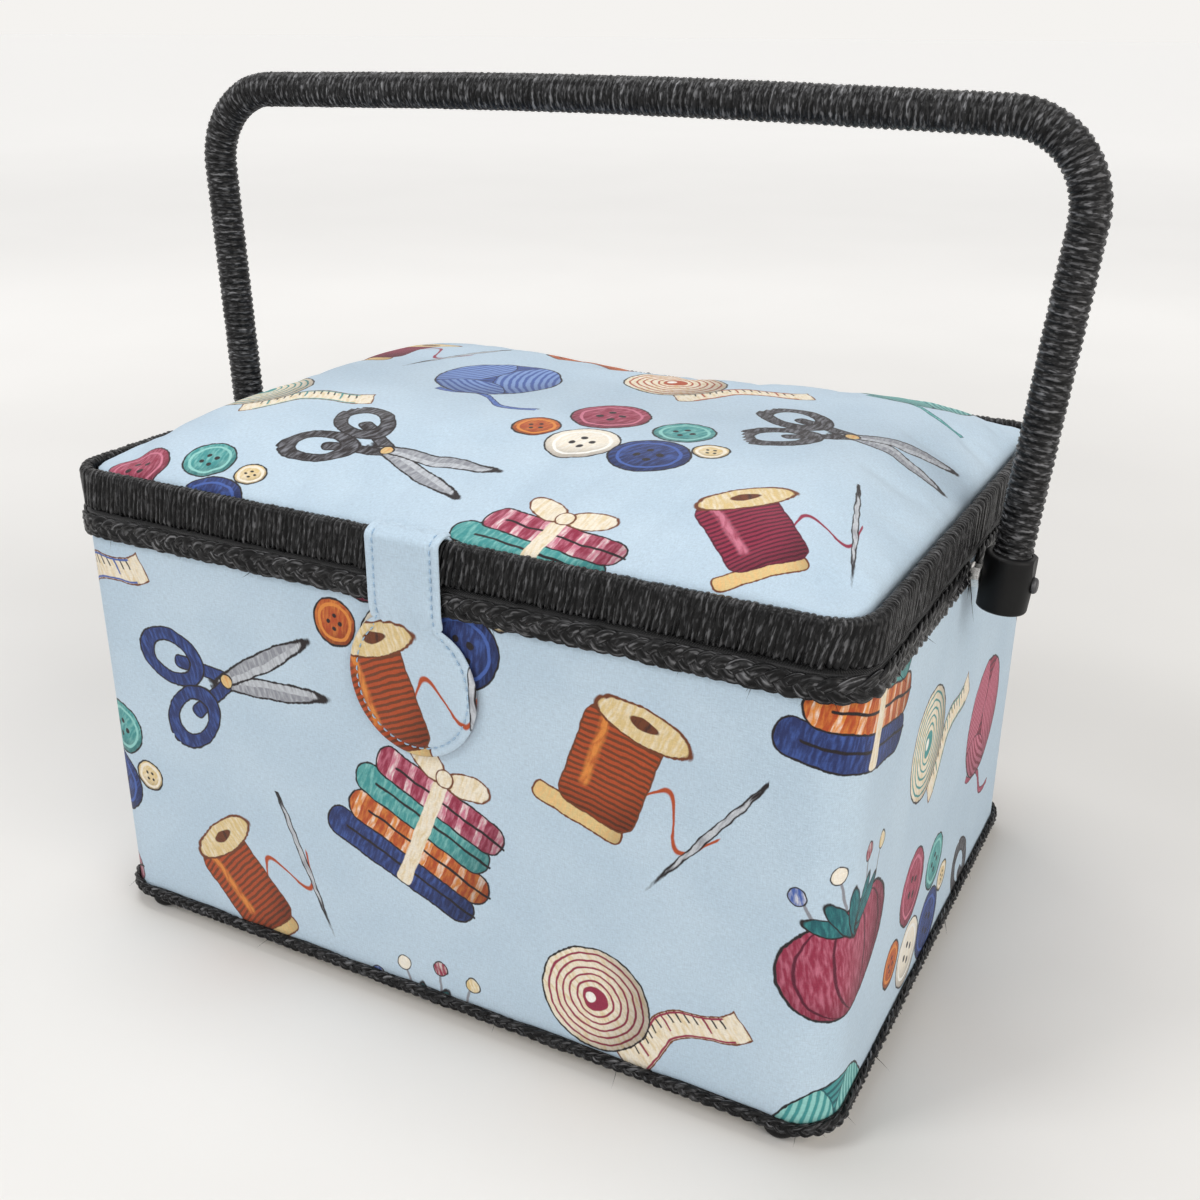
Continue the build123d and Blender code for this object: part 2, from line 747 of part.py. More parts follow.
# Tray with moulded compartments and two loose dividers in its front trough
tray_half_x = inner_x - tray_gap_x
tray_half_y = inner_y - tray_gap_y
tray_low = rail_top + tray_rest
tray_top = tray_low + tray_height
shell_half_x = tray_half_x - tray_lip
shell_half_y = tray_half_y - tray_lip
room_x = shell_half_x - tray_wall
room_y = shell_half_y - tray_wall
inside_height = tray_height - tray_wall
back_room = room_y - tray_back_wall_y
trough_depth = tray_front_wall_y - tray_wall / 2 + room_y
trough_y = tray_front_wall_y - tray_wall / 2 - trough_depth / 2
divider_places = [(-tray_divider_x, trough_y), (tray_divider_x, trough_y)]
guide_x = tray_divider_thickness / 2 + tray_divider_gap + tray_guide / 2
with BuildPart() as tray_shell:
    with BuildSketch(Plane.XY.offset(tray_low)):
        RectangleRounded(2 * shell_half_x, 2 * shell_half_y, tray_corner)
    extrude(amount=tray_height)
    with BuildSketch(Plane.XY.offset(tray_top - tray_wall)):
        RectangleRounded(2 * tray_half_x, 2 * tray_half_y, tray_corner + tray_lip)
    extrude(amount=tray_wall)
    with BuildSketch(Plane.XY.offset(tray_low + tray_wall)):
        RectangleRounded(2 * room_x, 2 * room_y, tray_corner - tray_wall)
    extrude(amount=tray_height, mode=Mode.SUBTRACT)
    with BuildSketch(Plane.XY.offset(tray_low + tray_wall)):
        with Locations((0, tray_front_wall_y), (0, tray_back_wall_y)):
            Rectangle(2 * room_x, tray_wall)
        with Locations((0, (tray_front_wall_y + tray_back_wall_y) / 2)):
            Rectangle(tray_wall, tray_back_wall_y - tray_front_wall_y)
        for x in (-tray_back_wall_x, tray_back_wall_x):
            with Locations((x, tray_back_wall_y + back_room / 2)):
                Rectangle(tray_wall, back_room)
    extrude(amount=inside_height - tray_divider_drop)
    with BuildSketch(Plane.XY.offset(tray_low + tray_wall)):
        for x, y in divider_places:
            for end in (-1, 1):
                with Locations((x, y + end * (trough_depth - tray_guide) / 2)):
                    with GridLocations(2 * guide_x, 0, 2, 1):
                        Rectangle(tray_guide, tray_guide)
    extrude(amount=inside_height - tray_divider_drop)
pieces["tray_shell"] = tray_shell

for (x, y), word in zip(divider_places, ("left", "right")):
    with BuildPart() as tray_divider:
        with BuildSketch(Plane(origin=(x, y, tray_low + tray_wall))):
            Rectangle(tray_divider_thickness, trough_depth - 2 * tray_divider_gap)
        extrude(amount=inside_height - tray_divider_drop)
    pieces["tray_divider_" + word] = tray_divider

# Ribbon that holds the open lid, folded once towards the back while the lid is shut
ribbon_x = inner_x - ribbon_wall_gap - ribbon_width / 2
ribbon_high_z = lining_low
ribbon_middle_z = (ribbon_low_z + ribbon_high_z) / 2
with BuildPart() as lid_stay_ribbon:
    with BuildSketch(Plane(origin=(ribbon_x, 0, 0), x_dir=(0, 1, 0), z_dir=(1, 0, 0))):
        with BuildLine():
            Polyline(
                (ribbon_front_y, ribbon_low_z),
                (ribbon_fold_y, ribbon_middle_z - ribbon_thickness),
                (ribbon_fold_y, ribbon_middle_z + ribbon_thickness),
                (ribbon_front_y, ribbon_high_z),
                (ribbon_front_y, ribbon_high_z - ribbon_thickness),
                (ribbon_fold_y - 2 * ribbon_thickness, ribbon_middle_z),
                (ribbon_front_y, ribbon_low_z + ribbon_thickness),
                close=True,
            )
        make_face()
    extrude(amount=ribbon_width / 2, both=True)
pieces["lid_stay_ribbon"] = lid_stay_ribbon

os.makedirs("parts", exist_ok=True)
for label, piece in pieces.items():
    piece.part.label = label
    export_step(piece.part, "parts/" + label + ".step")
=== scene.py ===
import bmesh
import bpy
import json
import numpy as np
from math import atan2, cos, hypot, pi, radians, sin, tan, tau
from mathutils import Matrix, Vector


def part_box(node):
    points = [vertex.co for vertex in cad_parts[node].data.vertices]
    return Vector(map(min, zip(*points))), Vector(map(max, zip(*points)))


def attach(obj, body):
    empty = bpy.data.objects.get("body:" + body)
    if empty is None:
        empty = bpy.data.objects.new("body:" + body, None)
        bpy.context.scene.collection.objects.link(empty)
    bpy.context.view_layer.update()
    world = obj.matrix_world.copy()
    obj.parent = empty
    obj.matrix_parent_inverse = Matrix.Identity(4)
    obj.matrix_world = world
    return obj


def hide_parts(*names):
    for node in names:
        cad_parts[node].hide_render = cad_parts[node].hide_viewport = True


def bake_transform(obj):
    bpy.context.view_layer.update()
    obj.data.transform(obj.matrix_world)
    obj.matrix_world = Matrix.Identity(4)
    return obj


# Covered sewing box: printed cotton over board, raffia wrapped rim and handle, padded lid.
# Shapes are worked out in millimetres and written to the meshes in metres.
# The cloth carries a print of sewing notions on light blue.

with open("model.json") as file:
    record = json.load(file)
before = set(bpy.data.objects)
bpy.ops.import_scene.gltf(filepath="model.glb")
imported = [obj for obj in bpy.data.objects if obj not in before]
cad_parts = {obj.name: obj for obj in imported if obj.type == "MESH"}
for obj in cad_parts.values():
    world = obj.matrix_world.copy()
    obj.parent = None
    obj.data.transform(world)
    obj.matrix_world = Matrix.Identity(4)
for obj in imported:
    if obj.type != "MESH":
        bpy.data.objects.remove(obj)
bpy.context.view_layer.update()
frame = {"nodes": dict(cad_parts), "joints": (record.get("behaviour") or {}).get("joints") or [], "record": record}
MM = 0.001
UV_MM = 0.01


def span(node):
    """The lowest and highest corners of a CAD node, in millimetres."""
    low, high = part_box(node)
    return np.array(low) / MM, np.array(high) / MM


# Sizes from the frame
wall_low, wall_high = span("wall_cover")
rim_low, rim_high = span("lid_rim_wrap")
panel_high = span("lid_panel")[1]
dome_low, dome_high = span("lid_cover")
lining_low, lining_high = span("wall_lining")
half_x, half_y = wall_high[:2]
rim_thickness = rim_high[0] - panel_high[0]
pivot = np.array([j["pos_m"] for j in frame["joints"] if j["name"] == "handle_swing"][0]) / MM

# Body and rim
body_corner = 15.0
wall_thickness = 4.5
lip_start = 0.8
rim_round = 2.2
strand_pitch = 2.1
rim_slant = 0.2

# Threads of the cotton
warp_pitch = 0.52
weft_pitch = 0.56

# Half of each gap in the top braid, and where the hinges are
pivot_gap = 5.4
hinge_gap = 13.2
hinge_place = 85.0

# Handle: its lean in degrees, its shape above the pivots, and the raffia coiled around it
handle_lean = 2.9
handle_low_half = 162.5
handle_top_half = 174.1
handle_rise = 146.0
handle_bow = 3.5
handle_radii = (28.0, 4200.0, 28.0)
handle_radius = 6.65
wrap_above = 3.0
coil_pitch = 2.5
ply_pitch = 8.2


def paint(red, green, blue):
    """A colour from its screen values, 0 to 255, as the linear values that shaders take."""
    shares = [v / 255 for v in (red, green, blue)]
    linear = [s / 12.92 if s <= 0.04045 else ((s + 0.055) / 1.055) ** 2.4 for s in shares]
    return (*linear, 1.0)


CLOTH_BLUE = paint(195, 214, 229)
CLOTH_SHADE = paint(188, 208, 224)
RUST = paint(178, 78, 42)
GINGER = paint(222, 140, 66)
APRICOT = paint(238, 188, 124)
CREAM = paint(242, 232, 214)
BROWN = paint(112, 62, 38)
INK = paint(38, 32, 34)
GREY = paint(142, 144, 152)
SILVER = paint(198, 202, 208)
TEAL = paint(66, 148, 148)
PALE_TEAL = paint(146, 206, 200)
DEEP_TEAL = paint(34, 92, 100)
COBALT = paint(72, 100, 172)
SKY = paint(136, 164, 216)
NAVY = paint(42, 52, 98)
MAROON = paint(148, 46, 72)
PINK = paint(206, 122, 144)
WINE = paint(92, 26, 48)
STRAW = paint(222, 196, 140)
WHITE = paint(250, 248, 242)


# Meshes


def ripple(places, size, seed):
    """A smooth random field, about -1 to 1, over places in millimetres."""
    random = np.random.default_rng(seed)
    waves = random.normal(size=(7, 3))
    waves *= random.uniform(0.7, 1.5, (7, 1)) / np.linalg.norm(waves, axis=1, keepdims=True)
    phases = random.uniform(0, tau, 7)
    return np.sin(places @ waves.T * tau / size + phases).mean(axis=-1) * 1.6


def stack(*parts):
    """Grids of x, y and z as one grid of points."""
    return np.stack(np.broadcast_arrays(*parts), axis=-1)


def raised(flat, z):
    """Points of a plan with their heights."""
    return stack(flat[..., 0], flat[..., 1], z)


def unit(vectors, least=0.0):
    """Vectors brought to a length of 1, or those shorter than least to less."""
    return vectors / np.maximum(np.linalg.norm(vectors, axis=-1, keepdims=True), least)


def travelled(path):
    """How far along a path each of its points lies."""
    return np.append(0, np.cumsum(np.linalg.norm(np.diff(path, axis=0), axis=1)))


def shown(name, data):
    """A new object with this data, in the scene."""
    piece = bpy.data.objects.new(name, data)
    bpy.context.scene.collection.objects.link(piece)
    return piece


def read(items, field, width):
    """One field of every item of a mesh."""
    values = np.empty(len(items) * width, np.float32)
    items.foreach_get(field, values)
    return values.reshape(-1, width).astype(float)


def write(items, field, values):
    """Sets one field of every item of a mesh."""
    items.foreach_set(field, np.asarray(values).astype(np.float32).ravel())


def lattice(first, second):
    """Each value of one row paired with each of another."""
    return np.stack(np.meshgrid(first, second, indexing="ij"), axis=-1)


def circle(count, whole=tau):
    """Even steps once round, without the last."""
    return np.linspace(0, whole, count, endpoint=False)


def cap_ends(piece, rows, columns):
    """Closes the two ends of a tube mesh."""
    shape = bmesh.new()
    shape.from_mesh(piece.data)
    shape.verts.ensure_lookup_table()
    for row in (0, rows - 1):
        ring = [shape.verts[row * columns + j] for j in range(columns)]
        shape.faces.new(ring if row else ring[::-1])
    shape.to_mesh(piece.data)
    shape.free()
    piece.data.shade_smooth()


def grid_mesh(name, points, close_u=False, close_v=False, capped=False, **layers):
    """A smooth piece over a grid of points, closed along either way, and a tube capped at both ends.

    Each layer is a grid of UV places in millimetres, one wider where the piece closes.
    """
    rows, columns = points.shape[:2]
    i, j = np.meshgrid(np.arange(rows - (not close_u)), np.arange(columns - (not close_v)), indexing="ij")
    corners = ((i, j), (i + 1, j), (i + 1, j + 1), (i, j + 1))
    quads = np.stack([(a % rows) * columns + b % columns for a, b in corners], axis=-1)
    mesh = bpy.data.meshes.new(name)
    mesh.from_pydata((points.reshape(-1, 3) * MM).tolist(), [], quads.reshape(-1, 4).tolist())
    for layer, grid in layers.items():
        values = np.stack([grid[a, b] for a, b in corners], axis=-2) * UV_MM
        write(mesh.uv_layers.new(name=layer).data, "uv", values)
    mesh.shade_smooth()
    piece = shown(name, mesh)
    if capped:
        cap_ends(piece, rows, columns)
    return piece


def coordinates(mesh):
    """A mesh's points, in millimetres."""
    return read(mesh.vertices, "co", 3) / MM


def settled(piece):
    """A piece as its modifiers leave it."""
    return piece.evaluated_get(bpy.context.evaluated_depsgraph_get())


def dress(piece, body, slot, *materials, replaced=()):
    """Gives a piece its materials and its body, and hides the CAD nodes that it stands for. The slot is not used.
    """
    for material in materials:
        piece.data.materials.append(material)
    if body:
        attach(piece, body)
    if replaced:
        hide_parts(*replaced)


def subdivide(piece):
    """Adds one level of smooth subdivision to a piece and gives its modifier."""
    modifier = piece.modifiers.new("Subdivision", "SUBSURF")
    modifier.levels = modifier.render_levels = 1
    return modifier


def join(name, pieces):
    """Several pieces as one."""
    with bpy.context.temp_override(
        active_object=pieces[0], object=pieces[0], selected_objects=pieces, selected_editable_objects=pieces
    ):
        bpy.ops.object.join()
    pieces[0].name = name
    return pieces[0]


def inflate(piece, pinned, cap, pressure, slack=0.0, frames=20):
    """Swells a padded piece by a cloth simulation and keeps each point within cap mm of its start."""
    start = coordinates(piece.data)
    piece.vertex_groups.new(name="pinned").add([int(k) for k in pinned], 1.0, "REPLACE")
    modifier = piece.modifiers.new("Cloth", "CLOTH")
    settings = modifier.settings
    settings.vertex_group_mass = "pinned"
    settings.use_pressure = True
    settings.uniform_pressure_force = pressure
    settings.shrink_min = -slack
    settings.effector_weights.gravity = 0
    modifier.point_cache.frame_end = frames
    for number in range(1, frames + 1):
        bpy.context.scene.frame_set(number)
    moved = coordinates(settled(piece).data) - start
    piece.modifiers.remove(modifier)
    bpy.context.scene.frame_set(1)
    length = np.linalg.norm(moved, axis=1, keepdims=True)
    moved *= np.minimum(1, cap / np.maximum(length, 1e-9))
    write(piece.data.vertices, "co", (start + moved) * MM)
    piece.data.update()


def loop_length(size_x, size_y, corner):
    """The way round a rounded rectangle of these half sizes."""
    return 4 * (size_x + size_y) - 8 * corner + tau * corner


def loop_at(size_x, size_y, corner, s):
    """Points and outward normals on a rounded rectangle, s mm anticlockwise from the middle of its back."""
    straight_x, straight_y, arc = 2 * (size_x - corner), 2 * (size_y - corner), corner * pi / 2
    runs = np.array([straight_x / 2, arc, straight_y, arc, straight_x, arc, straight_y, arc, straight_x / 2])
    ends = np.cumsum(runs)
    s = np.asarray(s, float) % ends[-1]
    run = np.searchsorted(ends, s, side="right").clip(0, len(runs) - 1)
    along = s - (ends - runs)[run]
    turning = run % 2 == 1
    heading = pi + run // 2 * pi / 2 + np.where(turning, along / corner, 0)
    normal = np.stack([np.sin(heading), -np.cos(heading)], axis=-1)
    direction = np.stack([np.cos(heading), np.sin(heading)], axis=-1)
    middles = np.array([(-1, 1), (-1, -1), (1, -1), (1, 1)]) * (size_x - corner, size_y - corner)
    past = np.where(turning, 0, along + np.where(run == 0, straight_x / 2, 0))
    middle = middles[np.where(run == 0, 3, (run - 1) // 2)]
    return middle + corner * normal + past[..., None] * direction, normal


def ring_points(grow, s, out, z):
    """Points around the body, s along its outline grown by this much, moved out from it, at height z."""
    point, normal = loop_at(half_x + grow, half_y + grow, body_corner + grow, s)
    return raised(point + normal * np.asarray(out)[..., None], z)


# Node trees


def plug(tree, socket, value):
    """Links a value to a socket, or writes a plain one there."""
    if isinstance(value, Term):
        tree.links.new(value.socket, socket)
    else:
        socket.default_value = value


def add(tree, kind, values, output=0, **settings):
    """What a new node gives, with these settings on it and these values on its sockets."""
    node = tree.nodes.new("ShaderNode" + kind)
    for name, setting in settings.items():
        setattr(node, name, setting)
    for key, value in values.items():
        plug(tree, node.inputs[key], value)
    return Term(tree, node.outputs[output])


def step(operation, kind="Math", output=0):
    """A method that adds one node, which works on the term and the values after it."""

    def method(*values):
        return add(values[0].tree, kind, dict(enumerate(values)), output, operation=operation)

    return method


class Term:
    """A number or vector in a node tree, so that a formula is written as plain arithmetic."""

    def __init__(self, tree, socket):
        self.tree, self.socket = tree, socket

    __add__ = __radd__ = step("ADD")
    __mul__ = __rmul__ = step("MULTIPLY")
    __sub__ = step("SUBTRACT")
    __truediv__ = step("DIVIDE")
    size = step("ABSOLUTE")
    sine = step("SINE")
    root = step("SQRT")
    fraction = step("FRACT")
    whole = step("FLOOR")
    least = step("MINIMUM")
    most = step("MAXIMUM")
    moved = step("ADD", "VectorMath")
    back = step("SUBTRACT", "VectorMath")
    times = step("MULTIPLY", "VectorMath")
    sizes = step("ABSOLUTE", "VectorMath")
    over = step("MAXIMUM", "VectorMath")
    length = step("LENGTH", "VectorMath", 1)
    gap = step("DISTANCE", "VectorMath", 1)

    def __rsub__(self, other):
        return self * -1 + other

    def flat(self):
        """Its x and y."""
        return [add(self.tree, "SeparateXYZ", {0: self}, axis) for axis in "XY"]

    def ramp(self, low, high, to_low=0.0, to_high=1.0):
        """Runs smoothly from to_low to to_high as this value goes from low to high."""
        values = dict(enumerate((self, low, high, to_low, to_high)))
        return add(self.tree, "MapRange", values, interpolation_type="SMOOTHSTEP")


def new_material(name, **values):
    """A material with these values on its shader, and its node tree."""
    material = bpy.data.materials.new(name)
    material.use_nodes = True
    return feed(material, **values), material.node_tree


def feed(material, **values):
    """Plugs values into a material's shader and gives the material."""
    tree = material.node_tree
    for socket, value in values.items():
        plug(tree, tree.nodes["Principled BSDF"].inputs[socket.replace("_", " ")], value)
    return material


def finish(material, height, depth, **values):
    """Feeds a material and raises its surface by a height of 0 to 1 times depth mm."""
    relief = add(material.node_tree, "Bump", {"Distance": depth * MM, "Height": height})
    return feed(material, Normal=relief, **values)


def uv_place(tree, layer):
    """A UV layer's coordinates, in millimetres."""
    return add(tree, "UVMap", {}, uv_map=layer).times((1 / UV_MM, 1 / UV_MM, 1 / UV_MM))


def object_place(tree):
    """The object's own coordinates, in millimetres."""
    return add(tree, "TexCoord", {}, "Object").times((1 / MM, 1 / MM, 1 / MM))


def noise(place, scale=1.0, detail=2.0, output="Fac"):
    """A smooth noise from 0 to 1."""
    return add(place.tree, "TexNoise", {"Vector": place, "Scale": scale, "Detail": detail}, output)


def grain(place, x, y, z=1.0, detail=2.0):
    """A noise drawn out along the axes whose factor is small."""
    return noise(place.times((x, y, z)), 1.0, detail)


def random_of(value):
    """A random number, 0 to 1, for each value."""
    return add(value.tree, "TexWhiteNoise", {"W": value}, "Value", noise_dimensions="1D")


def mixed(tree, factor, low, high, mode="MIX"):
    """A colour between two."""
    return add(tree, "Mix", {0: factor, 6: low, 7: high}, 2, data_type="RGBA", blend_type=mode)


def scaled(colour, amount):
    """A colour made brighter or darker."""
    return add(colour.tree, "HueSaturation", {"Value": amount, "Color": colour})


def tinted(colour, factor, more=0.0):
    """A plain colour made brighter or darker."""
    return (*(min(1, part * factor + more) for part in colour[:3]), 1)


# Print


class Art:
    """Layers of paint over the cloth's ground, drawn in millimetres about the middle of a motif."""

    def __init__(self, tree, ground):
        self.tree = tree
        self.colour = ground
        place = uv_place(tree, "print")
        wobble = noise(place, 0.16, output="Color").back((0.5, 0.5, 0.5))
        self.place = place.moved(wobble.times((1.6, 1.6, 0.0)))
        self.brush = grain(self.place, 0.9, 0.2, detail=3.0)
        self.tone = add(tree, "Attribute", {}, "Fac", attribute_name="tone")

    def at(self, x, y, turn=0.0, stretch_x=1.0, stretch_y=1.0):
        """Coordinates about another point, turned and stretched."""
        values = self.place, (x, y, 0), (0, 0, radians(turn)), (stretch_x, stretch_y, 1)
        return add(self.tree, "Mapping", dict(enumerate(values)), vector_type="TEXTURE")

    def disc(self, x, y, radius):
        """How far outside a disc."""
        return self.at(x, y).length() - radius

    def oval(self, x, y, reach_x, reach_y, turn=0.0):
        """About how far outside an ellipse."""
        return (self.at(x, y, turn, reach_x, reach_y).length() - 1) * min(reach_x, reach_y)

    def bar(self, x, y, width, height, turn=0.0, corner=1.0):
        """How far outside a bar with round corners."""
        edge = self.at(x, y, turn).sizes().back((width / 2 - corner, height / 2 - corner, 0))
        return edge.over((0, 0, 0)).length() - corner

    def waves(self, pitch, turn=0.0, bend=0.0):
        """Rows across the motif, 0 to 1, straight or bent."""
        x, y = self.at(0, 0, turn).flat()
        return ((y + x * x * bend) * (tau / pitch)).sine() * 0.5 + 0.5

    def pick(self, *colours):
        """One of these colours, by the motif's tone."""
        chosen = add(self.tree, "ValToRGB", {0: self.tone})
        bands = chosen.socket.node.color_ramp
        bands.interpolation = "CONSTANT"
        while len(bands.elements) < len(colours):
            bands.elements.new(0.5)
        for k, colour in enumerate(colours):
            bands.elements[k].position = k / len(colours)
            bands.elements[k].color = colour
        return chosen

    def fill(self, edge, colour, other=None, soft=0.18):
        """Paints the inside of an edge, with brush marks of another colour."""
        if other is not None:
            colour = mixed(self.tree, self.brush.ramp(0.38, 0.74, 0.0, 0.75), colour, other)
        self.colour = mixed(self.tree, edge.ramp(-soft, soft, 1.0, 0.0), self.colour, colour)

    def drawn(self, edge, colour, other, width=0.6, line=INK):
        """Paints the inside of an edge and draws a line along it."""
        self.fill(edge, colour, other)
        self.ink(edge, width, line)

    def rows(self, edge, wave, dark, light):
        """Paints the inside of an edge in rows of two colours."""
        self.fill(edge, mixed(self.tree, wave.ramp(0.15, 0.7), dark, light))

    def ink(self, edge, width=0.55, colour=INK):
        """Draws a thin uneven line along an edge."""
        self.fill(edge.size() - self.brush * width, colour, soft=0.16)

    def shade(self, edge, x, y, reach, amount=0.45):
        """Darkens the inside of an edge away from a point."""
        inside = edge.ramp(-0.2, 0.2, amount, 0.0)
        away = self.at(x, y).length().ramp(reach * 0.45, reach)
        self.colour = mixed(self.tree, inside * away, self.colour, paint(70, 52, 66), "MULTIPLY")


def yarn_ball(art):
    """A ball of yarn with a trailing end."""
    wool = art.pick(RUST, TEAL, COBALT, MAROON)
    light = art.pick(APRICOT, PALE_TEAL, SKY, PINK)
    dark = art.pick(BROWN, DEEP_TEAL, NAVY, WINE)
    x, y = art.place.flat()
    tail = (y + 18.5 - (x * 0.21).sine() * 2.6).size() * 0.9
    tail = tail.most((x - 12).size() - 21) - 0.95
    art.drawn(tail, wool, light, 0.4, dark)
    ball = art.disc(-5, 2, 21.5)
    art.rows(ball, art.waves(2.6, 24, 0.012), dark, wool)
    for place, radius, turn in (((14, 12), 22, -48), ((-26, 4), 19, 78), ((-2, -22), 18, -8)):
        band = ball.most(art.disc(*place, radius))
        art.rows(band, art.waves(2.5, turn, -0.014), wool, light)
        art.ink(band, 0.5, dark)
    art.shade(ball, -12, 11, 34)
    art.ink(ball, 0.6)


def spool(art):
    """A spool of thread with a threaded needle."""
    thread = art.pick(TEAL, RUST, MAROON, GINGER)
    light = art.pick(PALE_TEAL, GINGER, PINK, APRICOT)
    dark = art.pick(DEEP_TEAL, BROWN, WINE, BROWN)
    x, y = art.place.flat()
    loose = (y + 3 - (x * 0.3 - 1).sine() * 7).size() * 0.5
    loose = loose.most((x - 14).size() - 12) - 0.42
    art.fill(loose, thread)
    needle = art.oval(24, 2, 1.0, 23, -12)
    art.drawn(needle, SILVER, GREY, 0.4)
    art.fill(art.oval(27.8, 20, 0.35, 2.2, -12), INK)
    foot = art.bar(-10, -21, 29, 6, 8, 2.4)
    art.fill(foot, STRAW, APRICOT)
    art.shade(foot, -18, -18, 30, 0.6)
    art.ink(foot, 0.6, BROWN)
    reel = art.bar(-8, -2, 24, 34, 8, 4.5)
    art.rows(reel, art.waves(1.9, 11, 0.004), dark, thread)
    art.fill(art.bar(-14, 0, 2.6, 24, 8, 1.2), light, thread, 0.9)
    art.shade(reel, -16, 4, 32, 0.7)
    art.ink(reel, 0.5, dark)
    top = art.oval(-6, 16, 14.5, 5.4, 8)
    art.fill(top.most(art.bar(-6, 14, 40, 9, 8)), STRAW, APRICOT)
    art.drawn(top, STRAW, CREAM, 0.6, BROWN)
    art.fill(art.oval(-6, 16.6, 4.4, 1.8, 8), BROWN, INK)


def buttons(art):
    """A scatter of buttons with four holes each."""
    for x, y, radius, colour, light in (
        (-17, 9, 12.5, MAROON, PINK),
        (10, 15, 9.5, TEAL, PALE_TEAL),
        (-4, -13, 11.5, CREAM, WHITE),
        (18, -6, 12, NAVY, COBALT),
        (-25, -14, 7.5, RUST, GINGER),
        (28, 9, 5.5, STRAW, CREAM),
    ):
        edge = art.disc(x, y, radius)
        art.fill(edge, colour, light)
        art.shade(edge, x - radius * 0.3, y + radius * 0.4, radius * 1.5, 0.5)
        art.fill((edge + radius * 0.24).size() - 0.5, light)
        hole = art.at(x, y, radius * 7).sizes().gap((radius * 0.2, radius * 0.2, 0))
        art.fill(hole - radius * 0.1, INK)
        art.ink(edge, 0.6)


def pincushion_print(art):
    """A round pincushion with pins, sewn in segments."""
    skin = art.pick(RUST, MAROON, TEAL, RUST)
    light = art.pick(GINGER, PINK, PALE_TEAL, GINGER)
    dark = art.pick(BROWN, WINE, DEEP_TEAL, BROWN)
    pins = ((-16, 20, -20, COBALT), (-4, 25, -6, CREAM), (10, 24, 12, MAROON), (21, 19, 28, STRAW))
    for x, y, turn, colour in pins:
        art.fill(art.bar(x * 0.8, y * 0.66, 0.9, 17, -turn, 0.4), GREY)
        art.drawn(art.disc(x, y, 2.6), colour, WHITE, 0.4)
    body = art.oval(0, -5, 25, 17.5)
    art.fill(body, skin, light)
    x, y = art.at(0, -5, 0, 25, 17.5).flat()
    bulge = x / (1.02 - y * y).most(0.01).root()
    for share in (0.33, 0.78):
        seam = (bulge.size() - share).size() * 16 - 0.35
        art.fill(seam.most(body + 0.5), dark)
    art.shade(body, -8, 6, 34, 0.55)
    art.ink(body, 0.7)
    for turn in (-64, -30, 4, 38, 70):
        x, y = 9 * sin(radians(turn)), 8 + 2.5 * cos(radians(turn))
        art.drawn(art.oval(x, y, 2.6, 8, -turn), DEEP_TEAL, TEAL, 0.4)


def scissors(art):
    """A pair of scissors, a little open."""
    grip = art.pick(NAVY, MAROON, DEEP_TEAL, INK)
    light = art.pick(COBALT, PINK, TEAL, GREY)
    for side in (-1, 1):
        blade = art.oval(13, side * 4.2, 22, 3.1, side * 13)
        art.fill(blade, SILVER, GREY)
        art.fill(blade.most(art.oval(13, side * 4.2 + side * 2.2, 22, 2.6, side * 13)), GREY, SILVER)
        art.ink(blade, 0.6)
        art.drawn(art.bar(-12, -side * 5, 22, 4.4, side * 24, 2), grip, light, 0.5)
        art.drawn(art.oval(-23, -side * 10.5, 10.5, 7.4, side * 30).size() - 2.1, grip, light, 0.5)
    art.drawn(art.disc(-3, 0, 2.4), STRAW, GINGER, 0.5)


def tape_measure(art):
    """A rolled tape measure with its end drawn out, marked in plain ticks."""
    edge_colour = art.pick(RUST, COBALT, MAROON, TEAL)
    x, y = art.place.flat()
    middle = (x * 0.16 + 0.4).sine() * 3.4 - 15
    strip = (y - middle).size()
    limit = (x - 7).size() - 18
    band = strip.most(limit) - 4.6
    art.fill(band, CREAM, STRAW)
    tick = ((x * 0.4).fraction() - 0.5).size() * 2.5 - 0.28
    art.fill(tick.most((y - middle - 2.6).size() - 1.9).most(limit + 1), INK)
    long_tick = ((x * 0.08).fraction() - 0.5).size() * 12.5 - 0.3
    art.fill(long_tick.most((y - middle - 1.4).size() - 3.1).most(limit + 1), edge_colour)
    art.fill((strip - 3.9).size().most(limit + 0.6) - 0.35, edge_colour)
    art.ink(band, 0.5, BROWN)
    roll = art.disc(-12, 3, 17.5)
    art.fill(roll, CREAM, STRAW)
    spiral = (art.disc(-12, 3, 0) * 0.42).fraction()
    art.fill(((spiral - 0.5).size() * 2.4 - 0.34).most(roll + 1.4), edge_colour)
    art.shade(roll, -19, 10, 28, 0.5)
    art.fill(art.disc(-12, 3, 4.2), edge_colour)
    art.fill(art.disc(-13, 4, 1.8), WHITE, CREAM)
    art.ink(roll, 0.6)


